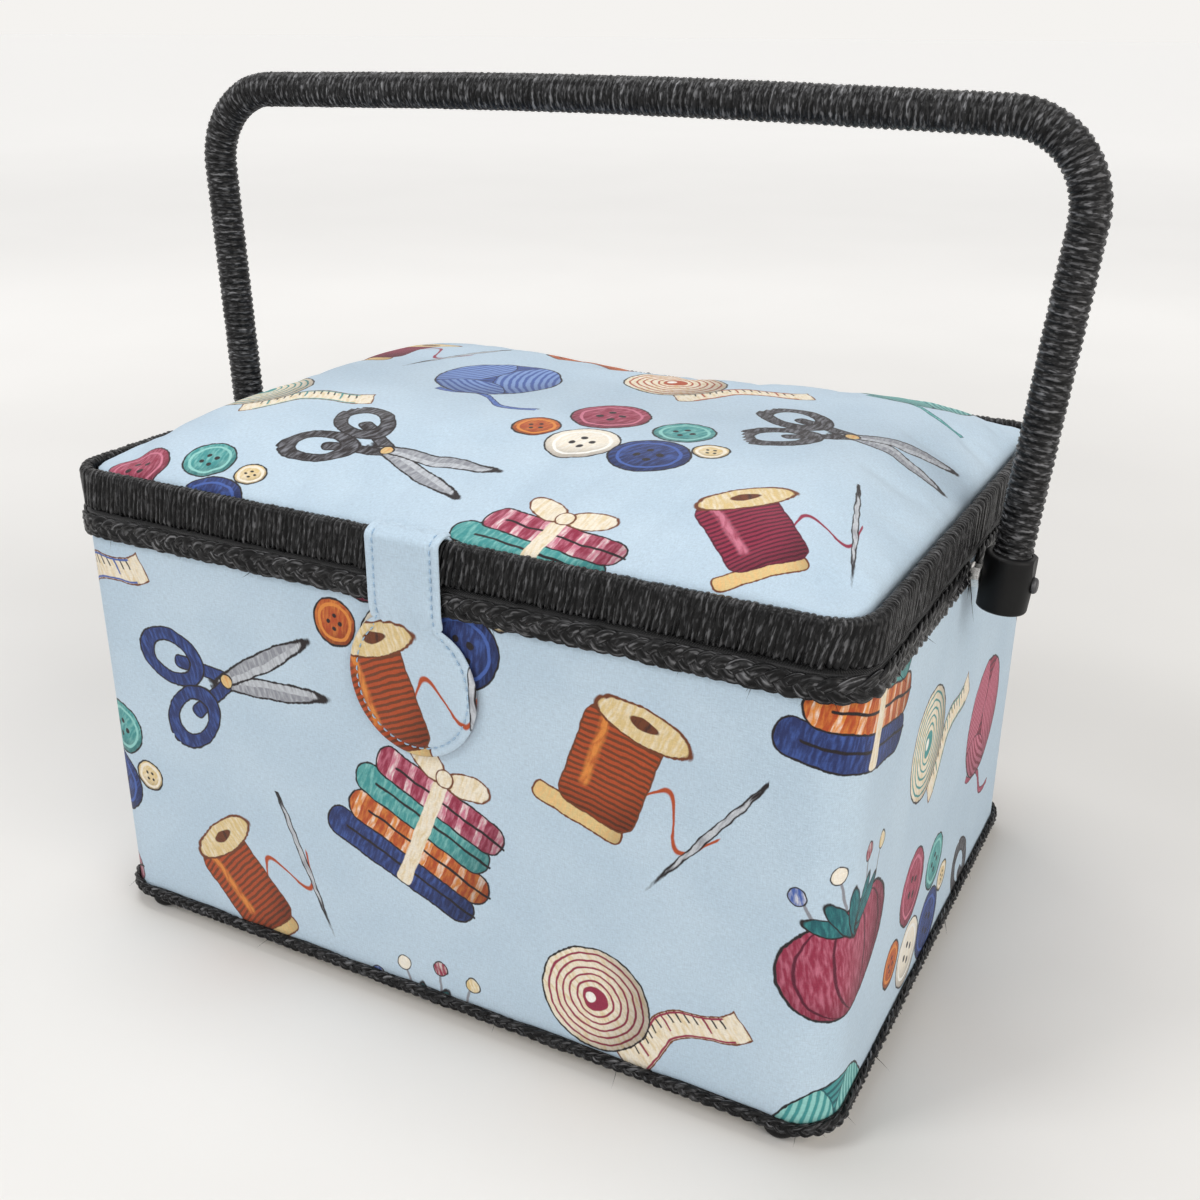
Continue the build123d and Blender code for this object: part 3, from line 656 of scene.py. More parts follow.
def folded_cloths(art):
    """A stack of folded cloths tied with a ribbon."""
    for k, (shift, low, colour, light) in enumerate((
        (-2, -17, NAVY, COBALT), (1.5, -6.5, RUST, GINGER), (-1, 4, TEAL, PALE_TEAL), (2, 13.5, MAROON, PINK)
    )):
        fold = art.bar(shift, low, 56 - 3 * k, 11.5, 1.5 - k, 5.2)
        art.fill(fold, colour, light)
        if k in (1, 3):
            art.fill(fold.most((art.waves(6.5, 84 + 3 * k) - 0.72) * -4), light, WHITE)
        art.fill(art.bar(shift + 4, low, 50 - 3 * k, 0.9, 1.5 - k, 0.4), INK)
        art.shade(fold, shift - 10, low + 8, 40, 0.5)
        art.ink(fold, 0.6)
    art.fill(art.bar(1, -1.5, 5, 42, 1, 1), CREAM, STRAW)
    bow = [art.oval(1 + side * 7.5, 24, 7.6, 4.2, side * 24) for side in (-1, 1)]
    for edge in (*bow, art.disc(1, 21.5, 2.8)):
        art.drawn(edge, CREAM, STRAW, 0.5, BROWN)


def cotton(name, ground, shade, draw=None):
    """Woven cotton, with slubs, a fine weave and, where there is one, a motif printed on it."""
    material, tree = new_material(
        name, Roughness=0.86, Sheen_Weight=0.18, Sheen_Roughness=0.5, Specular_IOR_Level=0.22
    )
    place = uv_place(tree, "cloth")
    colour = mixed(tree, noise(place, 0.03, 3.0).ramp(0.3, 0.7), ground, shade)
    if draw:
        art = Art(tree, colour)
        draw(art)
        colour = art.colour
    threads = grain(place, 2.3, 0.55, detail=1.0) + grain(place, 0.5, 2.1, detail=1.0)
    x, y = place.flat()
    weave = (x * (tau / warp_pitch)).sine() * (y * (tau / weft_pitch)).sine()
    base = scaled(colour, threads * 0.26 + 0.74)
    return finish(material, weave * 0.3 + threads * 0.9, 0.1, Base_Color=base)


motifs = {
    "yarn": yarn_ball,
    "spool": spool,
    "buttons": buttons,
    "pincushion": pincushion_print,
    "scissors": scissors,
    "tape": tape_measure,
    "cloths": folded_cloths,
}
printed = [cotton("printed_cotton", CLOTH_BLUE, CLOTH_SHADE)]
printed += [cotton(f"print_{name}", CLOTH_BLUE, CLOTH_SHADE, draw) for name, draw in motifs.items()]
print_scale = 1.15
motif_reach = 39.0 * print_scale
motif_stray = 3.0
motif_turn = 38.0


def half_drop(width, height, columns, pitch, seed):
    """Motif places over a cloth, as x, y, turn in degrees, kind and tone."""
    random = np.random.default_rng(seed)
    places = []
    for column in range(columns):
        low = -0.15 * pitch + (column % 2) * pitch / 2
        for row in range(int(height / pitch) + 2):
            x = (column + 0.5) * width / columns + random.uniform(-motif_stray, motif_stray)
            y = low + row * pitch + random.uniform(-motif_stray, motif_stray)
            turn = random.uniform(-motif_turn, motif_turn)
            places.append((x, y, turn, (2 * column + 3 * row + seed) % len(motifs), random.integers(4)))
    return places


def lay_print(piece, places):
    """Gives each face of a cloth the motif that it lies under, with the motif's own coordinates."""
    mesh = piece.data
    cloth = read(mesh.uv_layers["cloth"].data, "uv", 2) / UV_MM
    starts = np.array([face.loop_start for face in mesh.polygons])
    counts = np.diff(np.append(starts, len(cloth)))
    middles = np.add.reduceat(cloth, starts) / counts[:, None]
    places = np.array(places, float)
    gaps = np.linalg.norm(middles[:, None] - places[None, :, :2], axis=-1)
    x, y, turn, kind, tone = places[gaps.argmin(axis=1)].T
    kind = np.where(gaps.min(axis=1) < motif_reach, kind + 1, 0)
    mesh.polygons.foreach_set("material_index", kind.astype(np.int32))
    write(mesh.attributes.new("tone", "FLOAT", "FACE").data, "value", (tone + 0.5) / 4)
    x, y, turn = np.repeat((x, y, np.radians(turn)), counts, axis=1)
    x, y = (cloth.T - (x, y)) / print_scale
    local = stack(x * np.cos(turn) + y * np.sin(turn), y * np.cos(turn) - x * np.sin(turn))
    write(mesh.uv_layers.new(name="print").data, "uv", local * UV_MM)


# Other materials


def raffia(name, light, fine, pitch):
    """Black paper raffia: flat glossy strands with fine creases along them, each a little different, with painted
    highlights on each strand's crest and along its fibres.
    """
    material, tree = new_material(
        name, Specular_IOR_Level=0.12, Anisotropic=0.3, Coat_Weight=0.03, Coat_Roughness=0.12
    )
    place = uv_place(tree, "fibre")
    across = place.flat()[1] / pitch
    strand = random_of(across.whole())
    crest_highlight = (across.fraction() - 0.5).size().ramp(0.08, 0.46, 1.0, 0.0)
    fibres = grain(place, 0.28, fine, detail=3.0)
    crease = grain(place, 0.07, 0.9)
    patch = grain(place, 0.12, 0.3)
    # Painted highlight: the pale colour gathers on each strand's crest and along fibre streaks, varied at random
    # by patch and strand.
    painted_glint = (crest_highlight * 0.75 + 0.25) * (fibres.ramp(0.48, 0.64) * 0.9 + 0.1)
    painted_glint = painted_glint * (patch.ramp(0.35, 0.65) * 0.6 + 0.4) * (strand * 0.6 + 0.6)
    base = mixed(tree, painted_glint, paint(7, 7, 8), paint(light, light, light * 1.02))
    way = add(tree, "Tangent", {}, direction_type="UV_MAP", uv_map="fibre")
    relief = crease * 0.6 + fibres * 0.4
    return finish(material, relief, 0.5, Base_Color=base, Roughness=fibres * 0.3 + 0.12, Tangent=way)


def moulded(name, colour, roughness, relief):
    """Moulded plastic with a faint grain and scuffs."""
    material, tree = new_material(name, Specular_IOR_Level=0.2, Coat_Weight=0.01, Coat_Roughness=0.35)
    place = object_place(tree)
    specks = noise(place, 1.6, 4.0)
    wear = noise(place, 0.12, 5.0)
    base = mixed(tree, wear.ramp(0.35, 0.75), colour, tinted(colour, 1.05, 0.002))
    rough = wear * 0.22 + specks * 0.08 + roughness
    return finish(material, specks, relief, Base_Color=base, Roughness=rough)


def metal(name, colour, roughness):
    """Plated steel with fine turning marks and dull spots."""
    material, tree = new_material(name, Metallic=1.0, Specular_IOR_Level=0.5)
    place = object_place(tree)
    marks = grain(place, 0.4, 6.0, 6.0, 3.0)
    spots = noise(place, 0.5, 4.0)
    base = mixed(tree, spots.ramp(0.5, 0.8), colour, tinted(colour, 0.78))
    return finish(material, marks, 0.03, Base_Color=base, Roughness=marks * 0.16 + spots * 0.14 + roughness)


def board(name, colour, other, fine):
    """Wood or hardboard, with fibres along X."""
    material, tree = new_material(name, Specular_IOR_Level=0.3)
    place = object_place(tree)
    fibres = grain(place, 0.05, fine, fine, 5.0)
    flecks = noise(place, 0.9, 3.0)
    base = mixed(tree, (fibres * 0.7 + flecks * 0.3).ramp(0.35, 0.65), colour, other)
    return finish(material, fibres, 0.12, Base_Color=base, Roughness=flecks * 0.15 + 0.6)


def ribbed(name, colour, pitch):
    """Grosgrain or elastic, ribbed across its length, with painted highlights on the rib tops."""
    material, tree = new_material(name, Roughness=0.55, Sheen_Weight=0.25, Specular_IOR_Level=0.3)
    place = uv_place(tree, "cloth")
    ribs = (place.flat()[1] * (tau / pitch)).sine() * 0.5 + 0.5
    lint = noise(place, 1.4, 3.0)
    # Painted highlight on the rib tops, mixed with a random lint tone.
    base = mixed(tree, ribs * 0.5 + lint * 0.5, colour, tinted(colour, 1.7, 0.01))
    return finish(material, ribs + lint * 0.3, 0.12, Base_Color=base)


# light sets how bright the painted highlights on the raffia are.
rim_raffia = raffia("raffia_rim", light=104, fine=1.3, pitch=strand_pitch)
handle_raffia = raffia("raffia_handle", light=138, fine=1.1, pitch=coil_pitch)
braid_raffia = raffia("raffia_braid", light=122, fine=2.0, pitch=0.8)
black_plastic = moulded("black_plastic", paint(9, 9, 10), roughness=0.32, relief=0.02)
tray_plastic = moulded("tray_plastic", paint(226, 228, 228), roughness=0.24, relief=0.015)
plated_steel = metal("steel", (0.93, 0.92, 0.9, 1), roughness=0.14)
black_steel = metal("black_steel", (0.09, 0.09, 0.095, 1), roughness=0.3)
rail_wood = board("rail_wood", paint(205, 172, 122), paint(178, 140, 92), fine=1.1)
fibreboard = board("fibreboard", paint(168, 132, 92), paint(142, 108, 72), fine=0.6)
lining_cloth = cotton("plain_lining", paint(234, 231, 222), paint(226, 222, 212))
thread_blue = ribbed("thread_blue", paint(142, 168, 190), pitch=0.5)
elastic_band = ribbed("elastic", paint(212, 214, 214), pitch=0.9)
grosgrain = ribbed("ribbon", paint(20, 20, 22), pitch=0.8)
felt = cotton("felt", paint(150, 44, 62), paint(136, 38, 56))

# Materials of the CAD pieces that are seen as they are, by slot
slot_materials = {
    "fibreboard": fibreboard,
    "black_plastic": black_plastic,
    "tray_plastic": tray_plastic,
    "rail_wood": rail_wood,
    "steel": plated_steel,
    "black_steel": black_steel,
}
for subpart in frame["record"]["subparts"]:
    material = slot_materials.get(subpart["material_slot"])
    if material:
        materials = frame["nodes"][subpart["node"]].data.materials
        materials.clear()
        materials.append(material)


# Cloth around the body, turned in over the wall's top edge

body_girth = loop_length(half_x, half_y, body_corner)
body_height = wall_high[2] - wall_low[2]


def cover_body():
    """The printed cloth around the walls, a little uneven where it was pulled tight."""
    columns, rows = 352, 58
    sunk = 0.22
    s = circle(columns, body_girth)[:, None]
    up = np.linspace(0, body_height - lip_start, rows)
    lip_out = np.array([-0.25, -0.8, -2.0, -3.4, -4.6, -wall_thickness - 0.4])
    lip_down = np.array([0.25, 0.0, 0.0, 0.0, 0.2, 1.0])
    out = np.append(np.zeros(rows), lip_out)[None]
    z = np.append(wall_low[2] + up, wall_high[2] - lip_down)[None]
    points = ring_points(0, s, out, z)
    swell = ripple(points * (1, 1, 0.45), size=60, seed=3) * 0.16
    swell += ripple(points * (1, 1, 0.2), size=22, seed=4) * 0.07
    fade = np.append(np.sin(np.linspace(0, pi, rows)) ** 0.4, np.zeros(lip_out.size))
    points = ring_points(0, s, out + (swell - sunk) * fade, z)
    distance = np.append(up, body_height - lip_start + np.linspace(0.6, 6.4, lip_out.size))
    cloth = lattice(np.linspace(0, body_girth, columns + 1), distance)
    piece = grid_mesh("body_cloth", points, close_u=True, cloth=cloth)
    lay_print(piece, half_drop(body_girth, body_height, columns=13, pitch=82, seed=5))
    dress(piece, "box", "printed_cotton", *printed, replaced=["wall_cover"])
    subdivide(piece)


cover_body()


# Cloth under the base, lining of the walls and the floor pad


def rounded_sheet(name, body, node, corner, lift, rows, puff=0.0):
    """A flat cloth that faces down, as large as a node, and hangs a little in its middle."""
    low, high = span(node)
    s = circle(240, loop_length(high[0], high[1], corner))
    edge = loop_at(high[0], high[1], corner, s)[0]
    share = np.linspace(1, 0.004, rows)[None]
    points = raised(edge[:, None] * share[..., None], low[2] + lift - puff * (1 - share**6))[::-1]
    points = points + stack(0, 0, ripple(points, size=45, seed=11) * 0.15 * (1 - share**4))
    loop = np.concatenate([points, points[:1]])
    piece = grid_mesh(name, points, close_u=True, cloth=loop[..., :2])
    dress(piece, body, "plain_lining", lining_cloth, replaced=[node])


def line_box():
    """The plain cloth inside the walls, which faces inwards."""
    grow = -wall_thickness - 0.5
    girth = loop_length(half_x + grow, half_y + grow, body_corner + grow)
    columns, rows = 320, 50
    s = np.linspace(girth, 0, columns, endpoint=False)[:, None]
    z = np.linspace(lining_low[2], lining_high[2], rows)[None]
    points = ring_points(grow, s, 0 * z, z)
    swell = ripple(points * (1, 1, 0.3), size=55, seed=21) * 0.2 + 0.2
    points = ring_points(grow, s, -swell * np.sin(np.linspace(0, pi, rows)) ** 0.5, z)
    cloth = lattice(np.linspace(girth, 0, columns + 1), z[0])
    lining = grid_mesh("wall_lining_cloth", points, close_u=True, cloth=cloth)
    dress(lining, "box", "plain_lining", lining_cloth, replaced=["wall_lining"])


rounded_sheet("base_cloth", "box", "base_cover", body_corner - 2, lift=0.15, rows=24)
line_box()


# Padded top of the lid

dome_edge = dome_low[2] + 0.5
dome_rise = dome_high[2] - dome_edge
dome_flatness = (7.8, 3.14)
dome_shoulders = (0.9, 0.91)
inner_corner = body_corner + 1.2 - rim_thickness


def dome_height(x, y):
    """Height of the padded top over a point of the lid, flat in its middle and rounded off at its sides."""
    share = 1.0
    for place, reach, flatness, shoulder in zip((x, y), dome_high, dome_flatness, dome_shoulders):
        share = share * (1 - np.abs(place / reach).clip(0, 1) ** flatness) ** shoulder
    return dome_edge + dome_rise * share


def lid_blank(reach):
    """The lid's cloth before it swells, as a closed piece, with the points that are held down."""
    columns, rows = 97, 75
    square = lattice(reach[0] * np.linspace(-1, 1, columns), reach[1] * np.linspace(-1, 1, rows))
    turn = (np.abs(square) - reach + inner_corner).clip(0)
    pull = 1 - turn.max(axis=-1) / np.maximum(np.hypot(turn[..., 0], turn[..., 1]), 1e-9)
    inward = pull * (turn.min(axis=-1) > 0)
    x, y = np.moveaxis(square - np.sign(square) * turn * inward[..., None], -1, 0)
    top = stack(x, y, dome_height(x * 0.9975, y * 0.9975) - 1.2)
    under = stack(x * 0.992, y * 0.992, panel_high[2] + 0.3)
    points = np.concatenate([top.reshape(-1, 3), under.reshape(-1, 3)])
    start = columns * rows
    index = np.arange(start).reshape(columns, rows)
    a = index[:-1, :-1].ravel()
    upper = np.stack([a, a + rows, a + rows + 1, a + 1], axis=-1)
    lower = start + np.stack([a, a + 1, a + rows + 1, a + rows], axis=-1)
    rim = np.concatenate([index[:, 0], index[-1, 1:], index[-2::-1, -1], index[0, -2:0:-1]])
    after = np.roll(rim, -1)
    sides = np.stack([start + rim, start + after, after, rim], axis=-1)
    faces = np.concatenate([np.stack([upper, lower], axis=1).reshape(-1, 4), sides])
    mesh = bpy.data.meshes.new("lid_cloth")
    mesh.from_pydata((points * MM).tolist(), [], faces.tolist())
    return shown("lid_cloth", mesh), [*rim, *range(start, len(points))]


def cover_lid():
    """The printed cloth over the lid's wadding."""
    reach = dome_high[:2] - 0.2
    piece, held = lid_blank(reach)
    inflate(piece, held, cap=2.6, pressure=5.0, slack=0.012)
    modifier = subdivide(piece)
    piece.data = mesh = bpy.data.meshes.new_from_object(settled(piece))
    piece.modifiers.remove(modifier)
    mesh.shade_smooth()
    place = coordinates(mesh)
    inset = (reach - np.abs(place[:, :2])).min(axis=1)
    soft = ripple(place, size=38, seed=31) * 0.5 + ripple(place, size=17, seed=32) * 0.2
    place[:, 2] += np.where(inset > 1, soft * (inset / 12).clip(0, 1) * 0.6, 0)
    write(mesh.vertices, "co", place * MM)
    # The sides are longer than they look from above, so the print is spread down them.
    drop = (dome_edge + dome_rise - place[:, 2]).clip(0) * 0.75
    lean = unit((place[:, :2] / reach) ** (7, 3), 0.05)
    flat = place[:, :2] + lean * drop[:, None] + reach
    corner = np.array([loop.vertex_index for loop in mesh.loops])
    write(mesh.uv_layers.new(name="cloth").data, "uv", flat[corner] * UV_MM)
    lay_print(piece, half_drop(*(2 * reach), columns=4, pitch=84, seed=9))
    dress(piece, "lid", "printed_cotton", *printed, replaced=["lid_cover", "lid_padding"])


cover_lid()


# Raffia wound around the rim


def wrap_rim():
    """Strands wound around the rim, each a little different in place, depth and fullness."""
    across, around = 7, 30
    stray, jitter, groove = 0.36, 0.16, 0.8
    height = rim_high[2] - rim_low[2]
    middle_x, middle_y = rim_high[:2] - rim_thickness / 2
    corner = body_corner + 1.2 - rim_thickness / 2
    girth = loop_length(middle_x, middle_y, corner)
    strands = round(girth / strand_pitch)
    section_girth = loop_length(rim_thickness / 2, height / 2, rim_round)
    t = circle(around, section_girth)
    section, section_normal = loop_at(rim_thickness / 2, height / 2, rim_round, t)
    random = np.random.default_rng(17)
    each = strands, 1, 1
    wander = random.uniform(-stray, stray, each)
    bends = random.integers(1, 4, each)
    wander = wander * np.sin(t * tau / section_girth * bends + random.uniform(0, tau, each))
    wander += random.normal(0, jitter, each)
    fullness = random.uniform(0.7, 1.0, each)
    sunk = random.uniform(0, 0.6, each) ** 2
    f = (np.arange(across) / across)[:, None]
    k = np.arange(strands)[:, None, None]
    drift = wander * (1 - f) + np.roll(wander, -1, axis=0) * f
    lean = np.sin(pi * f ** random.uniform(0.75, 1.5, each)) ** 0.6
    s = (k + f) * girth / strands + drift + section[:, 1] * rim_slant
    up = section[:, 1] / height * 2
    low_end = ((-up - 0.1) / 0.9).clip(0, 1)
    high_end = ((up - 0.5) / 0.5).clip(0, 1)
    cut = 1 + low_end * random.uniform(0.3, 1.4, each) - 0.35 * high_end
    sink = -(1 - lean * fullness) * groove * cut - sunk * np.sin(pi * f) ** 0.6
    s = s.reshape(-1, around)
    sink = sink.reshape(-1, around) + ripple(stack(s, t * 3, 0), size=9, seed=5) * 0.07 - 0.07
    point, normal = loop_at(middle_x, middle_y, corner, s)
    flat = point + normal * (section[:, 0] + section_normal[:, 0] * sink)[..., None]
    z = (rim_low[2] + rim_high[2]) / 2 + section[:, 1] + section_normal[:, 1] * sink
    v = np.arange(strands * across + 1) / across * strand_pitch
    fibre = lattice(v, np.append(t, section_girth))[..., ::-1]
    piece = grid_mesh("rim_raffia", raised(flat, z), close_u=True, close_v=True, fibre=fibre)
    dress(piece, "lid", "raffia", rim_raffia, replaced=["lid_rim_wrap", "lid_frame"])


wrap_rim()


# Plaited braids


def bulged(values, power):
    """A power of each value that keeps its sign."""
    return np.sign(values) * np.abs(values) ** power


def plait(name, z_low, z_high, thick, period, runs, seed):
    """Three flat strands plaited around the body, over a flat backing.

    Each run has rounded ends. Without runs the plait goes all the way round.
    """
    girth = body_girth
    random = np.random.default_rng(seed)
    tall = z_high - z_low
    # Swing up and down, half width, depth of the middle, depth of the weave and half thickness
    plaited = (tall * 0.27, tall * 0.25, thick * 0.5, thick * 0.21, thick * 0.31)
    backing = (0.0, tall * 0.5, thick * 0.2, 0.0, thick * 0.18)
    periods = round(girth / period)
    rows_a_period, end_round = 14, 1.6
    theta = circle(20)
    pieces, closed = [], not runs
    for start, end in runs or [(0, girth)]:
        count = int((end - start) / girth * periods * rows_a_period)
        s = np.linspace(start, end, count, endpoint=not closed)
        way_round = s * tau / girth
        fade = np.ones(count) if closed else (np.minimum(s - start, end - s) / end_round).clip(0.02, 1)
        fade = np.sqrt(1 - (1 - fade) ** 2)
        for strand, (swing, wide, middle, weave_depth, half_thick) in enumerate([plaited] * 3 + [backing]):
            hurried = 0.7 * np.sin(way_round * 11 + seed) + 0.45 * np.sin(way_round * 27)
            phase = way_round * periods + tau * strand / 3 + hurried
            uneven = 1 + 0.14 * np.sin(way_round * 19 + random.uniform(0, tau))
            uneven += 0.1 * np.sin(way_round * 41 + random.uniform(0, tau))
            slope = swing * tau * periods / girth * np.cos(phase)
            size = np.hypot(slope, 1)
            flat_way = bulged(np.cos(theta), 0.75) * wide * (fade * uneven)[:, None]
            thick_way = bulged(np.sin(theta), 0.85) * half_thick * fade[:, None]
            crease = 1 - 0.3 * np.cos(5 * theta + phase[:, None] * 0.5)
            place = s[:, None] + flat_way * (slope / size)[:, None]
            z = (z_low + z_high) / 2 + swing * np.sin(phase)[:, None] - flat_way / size[:, None]
            out = middle + weave_depth * np.sin(2 * phase)[:, None] + thick_way * crease
            points = ring_points(0, place, out, z.clip(z_low, z_high))
            u = np.append(s, s[-1] + s[1] - s[0]) if closed else s
            fibre = lattice(u, np.append(theta, tau) * wide / 2 + strand * 3 * strand_pitch)
            pieces.append(grid_mesh(name, points, close_u=closed, close_v=True, fibre=fibre))
    return join(name, pieces)


def edge_braids():
    """The braid around the top edge, with gaps for the pivots and hinges, and the one at the bottom."""
    low, high = span("top_braid")
    left = half_x - body_corner + body_corner * pi / 2 + (half_y - body_corner) - pivot[1]
    right = body_girth - left
    runs = [
        (-hinge_place + hinge_gap, hinge_place - hinge_gap),
        (hinge_place + hinge_gap, left - pivot_gap),
        (left + pivot_gap, right - pivot_gap),
        (right + pivot_gap, body_girth - hinge_place - hinge_gap),
    ]
    thick = high[0] - half_x
    braid = plait("top_braid_raffia", low[2], high[2] + 0.2, thick, period=15.0, runs=runs, seed=41)
    dress(braid, "box", "raffia", braid_raffia, replaced=["top_braid", "top_braid_back"])
    low, high = span("bottom_braid")
    thick = high[0] - half_x
    braid = plait("bottom_braid_raffia", low[2], high[2], thick, period=11.5, runs=[], seed=42)
    dress(braid, "box", "raffia", braid_raffia, replaced=["bottom_braid"])


edge_braids()


def lay_edge_shade_strip():
    """A black strip over the top edge of the wall: a dark sheet put where the shade under the rim falls, hiding
    the turned-in cloth.
    """
    inner = -wall_thickness
    out = np.array([0.1, 0.45, 0.4, 0.0, -1.2, -2.4, -3.6, inner, inner - 0.7, inner - 0.6])
    up = np.array([-2.2, -1.2, -0.2, 0.15, 0.2, 0.2, 0.2, 0.1, -0.5, -2.8])
    columns = 300
    points = ring_points(0, circle(columns, body_girth)[:, None], out, wall_high[2] + up)
    lengths = travelled(stack(out, up))
    cloth = lattice(np.linspace(0, body_girth, columns + 1), lengths)[..., ::-1]
    piece = grid_mesh("edge_shade_strip", points, close_u=True, cloth=cloth)
    # Black ribbon material, standing in for the shade under the rim.
    dress(piece, "box", "ribbon", grosgrain)


lay_edge_shade_strip()


# Loose fibre ends


def fray(name, roots, ways, lengths, thickness, seed):
    """Thin fibres that leave the raffia and bend as they hang."""
    random = np.random.default_rng(seed)
    share = np.linspace(0, 1, 7)[:, None]
    sag = np.array([0, 0, -0.3])
    theta = circle(4)[:, None]
    pieces = []
    for root, way, length in zip(roots, ways, lengths):
        curl = random.normal(0, 0.4, 3)
        line = root + length * (way * share + (curl + sag) * share**2)
        side = unit(np.cross(way, curl))
        ring = np.cos(theta) * side + np.sin(theta) * np.cross(way, side)
        points = line[:, None] + ring * thickness * (1.05 - share[..., None])
        fibre = lattice(share[:, 0] * length, np.arange(5) * 0.2)
        pieces.append(grid_mesh(name, points, close_v=True, fibre=fibre))
    dress(join(name, pieces), "box", "raffia", braid_raffia)


def loose_ends():
    """Stray fibres along both braids and under the pivots."""
    random = np.random.default_rng(71)
    low, high = span("top_braid")
    bottom_low, bottom_high = span("bottom_braid")
    for name, z, count, out in (
        ("top_braid_frays", low[2] + 0.8, 46, high[0] - half_x - 0.6),
        ("bottom_braid_frays", bottom_low[2] + 2.5, 40, bottom_high[0] - half_x - 0.6),
    ):
        s = random.uniform(0, body_girth, count)
        roots = ring_points(0, s, out, z + random.uniform(-0.5, 2.5, count))
        normal = loop_at(half_x, half_y, body_corner, s)[1]
        flat = normal * 0.55 + stack(-normal[:, 1], normal[:, 0]) * random.uniform(-1, 1, (count, 1))
        ways = unit(raised(flat, -0.35))
        fray(name, roots, ways, random.uniform(1.5, 5.0, count), thickness=0.16, seed=72)
    for side, word in ((-1, "left"), (1, "right")):
        count = 9
        places = pivot[1] + random.uniform(-9, -3, count)
        roots = stack(side * (high[0] - 0.9), places, low[2] + random.uniform(0, 3, count))
        ways = stack(side * random.uniform(0, 0.25, count), random.uniform(-0.3, 0.3, count), -1.0)
        fray(f"pivot_frays_{word}", roots, ways, random.uniform(3, 7, count), thickness=0.24, seed=73)


loose_ends()


# Handle


def rounded_route(corners, radii, pitch):
    """Places, headings and lengths about every pitch mm along straight runs joined by arcs."""
    corners = np.array(corners, float) @ (1, 1j)
    ways = np.diff(corners)
    heading = np.angle(ways[0])
    places, headings = [corners[:1]], [[heading]]
    for way, after, corner, radius in zip(ways, ways[1:], corners[1:], radii):
        turn = np.angle(after / way)
        forward = way / abs(way)
        angles = turn * np.linspace(0, 1, 60)
        arc_start = corner - forward * radius * tan(abs(turn) / 2)
        places.append(arc_start + radius * np.sign(turn) * 1j * forward * (1 - np.exp(1j * angles)))
        headings.append(heading + angles)
        heading += turn
    places = np.concatenate([*places, corners[-1:]])
    headings = np.concatenate([*headings, [heading]])
    lengths = np.append(0, np.cumsum(np.abs(np.diff(places))))
    keep = np.append(True, np.diff(lengths) > 1e-6)
    even = np.linspace(0, lengths[-1], int(lengths[-1] / pitch) + 1)
    lines = places.real, places.imag, headings
    return *(np.interp(even, lengths[keep], line[keep]) for line in lines), even


def wrap_handle():
    """Twisted raffia coiled around the handle's bar."""
    groove, coil_round, ply_height = 0.95, 0.3, 0.65
    splay = atan2(handle_top_half - handle_low_half, handle_rise)
    foot = handle_low_half + wrap_above * sin(splay), wrap_above * cos(splay)
    corners = [
        (-foot[0], foot[1]),
        (-handle_top_half, handle_rise),
        (0, handle_rise + handle_bow),
        (handle_top_half, handle_rise),
        foot,
    ]
    x, up, heading, s = rounded_route(corners, handle_radii, pitch=coil_pitch / 6)
    theta = circle(64)[None]
    coil = s[:, None] / coil_pitch + theta / tau
    random = np.random.default_rng(23)
    turns = np.floor(coil).astype(int) - int(np.floor(coil.min()))
    f = coil - np.floor(coil)
    twist = np.cumsum(random.normal(0, 0.9, turns.max() + 1))[turns]
    fullness = random.uniform(0.8, 1.0, turns.max() + 1)[turns]
    ridge = np.sin(pi * f).clip(0) ** 0.5
    turn = (s[:, None] * tau * handle_radius / coil_pitch + theta * handle_radius) * tau / ply_pitch + twist
    plies = []
    for side in (1, -1):
        off = (f - 0.5 + side * 0.26 * np.cos(turn)) / 0.36
        plies.append(side * np.sin(turn) * 0.55 + 0.45 * np.sqrt((1 - off * off).clip(0)))
    height = coil_round + ply_height * np.maximum(*plies).clip(0)
    radius = handle_radius - groove + ridge * fullness * height
    across, deep = radius * np.cos(theta), radius * np.sin(theta)
    flat_x = x[:, None] - across * np.sin(heading)[:, None]
    flat_up = up[:, None] + across * np.cos(heading)[:, None]
    lean = radians(handle_lean)
    y = pivot[1] + flat_up * sin(lean) - deep * cos(lean)
    z = pivot[2] + flat_up * cos(lean) + deep * sin(lean)
    fibre = lattice(s, np.append(theta[0], tau) * handle_radius)[..., ::-1]
    fibre[..., 1] += fibre[..., 0] * coil_pitch / (tau * handle_radius)
    piece = grid_mesh("handle_raffia", stack(flat_x, y, z), close_v=True, fibre=fibre)
    dress(piece, "handle", "raffia", handle_raffia, replaced=["handle_wrap"])


wrap_handle()


# Tab closure: its paddle and strap, its seam and stitches

paddle_half_x, paddle_half_z = 25.0, 26.0
strap_half = 14.0
tab_thickness = 1.9
tab_edge_round = 1.3
seam_inset, seam_width, seam_depth = 3.1, 0.7, 0.55
stitch_pitch, stitch_length, stitch_radius = 3.0, 2.2, 0.27


def tab_line(count):
    """The tab's middle line from its sewn end to its tip, as y and z with the lengths along it."""
    tab_low = span("closure_tab")[0]
    magnet_low, magnet_high = span("tab_magnet")
    anchor_high = span("tab_anchor")[1]
    strap_y = tab_low[1] + 1.0
    paddle_y = magnet_high[1] - 1.0
    top_z = anchor_high[2] - 0.7
    paddle_top = (magnet_low[2] + magnet_high[2]) / 2 + paddle_half_z
    corners = [
        (anchor_high[1] + 0.2, top_z - 0.2),
        (-rim_high[1] + 1.0, top_z + 0.3),
        (strap_y, top_z - 1.6),
        (strap_y, paddle_top + 1.0),
        (paddle_y, paddle_top - 10),
        (paddle_y, tab_low[2]),
    ]
    y, z, _, s = rounded_route(corners, radii=(6.0, 2.2, 14.0, 14.0), pitch=0.05)
    even = np.linspace(0, s[-1], count)
    return np.interp(even, s, y), np.interp(even, s, z), even


def on_line(line, s):
    """Where a line of y and z is after these lengths."""
    y, z, lengths = line
    return np.array([np.interp(s, lengths, y), np.interp(s, lengths, z)])


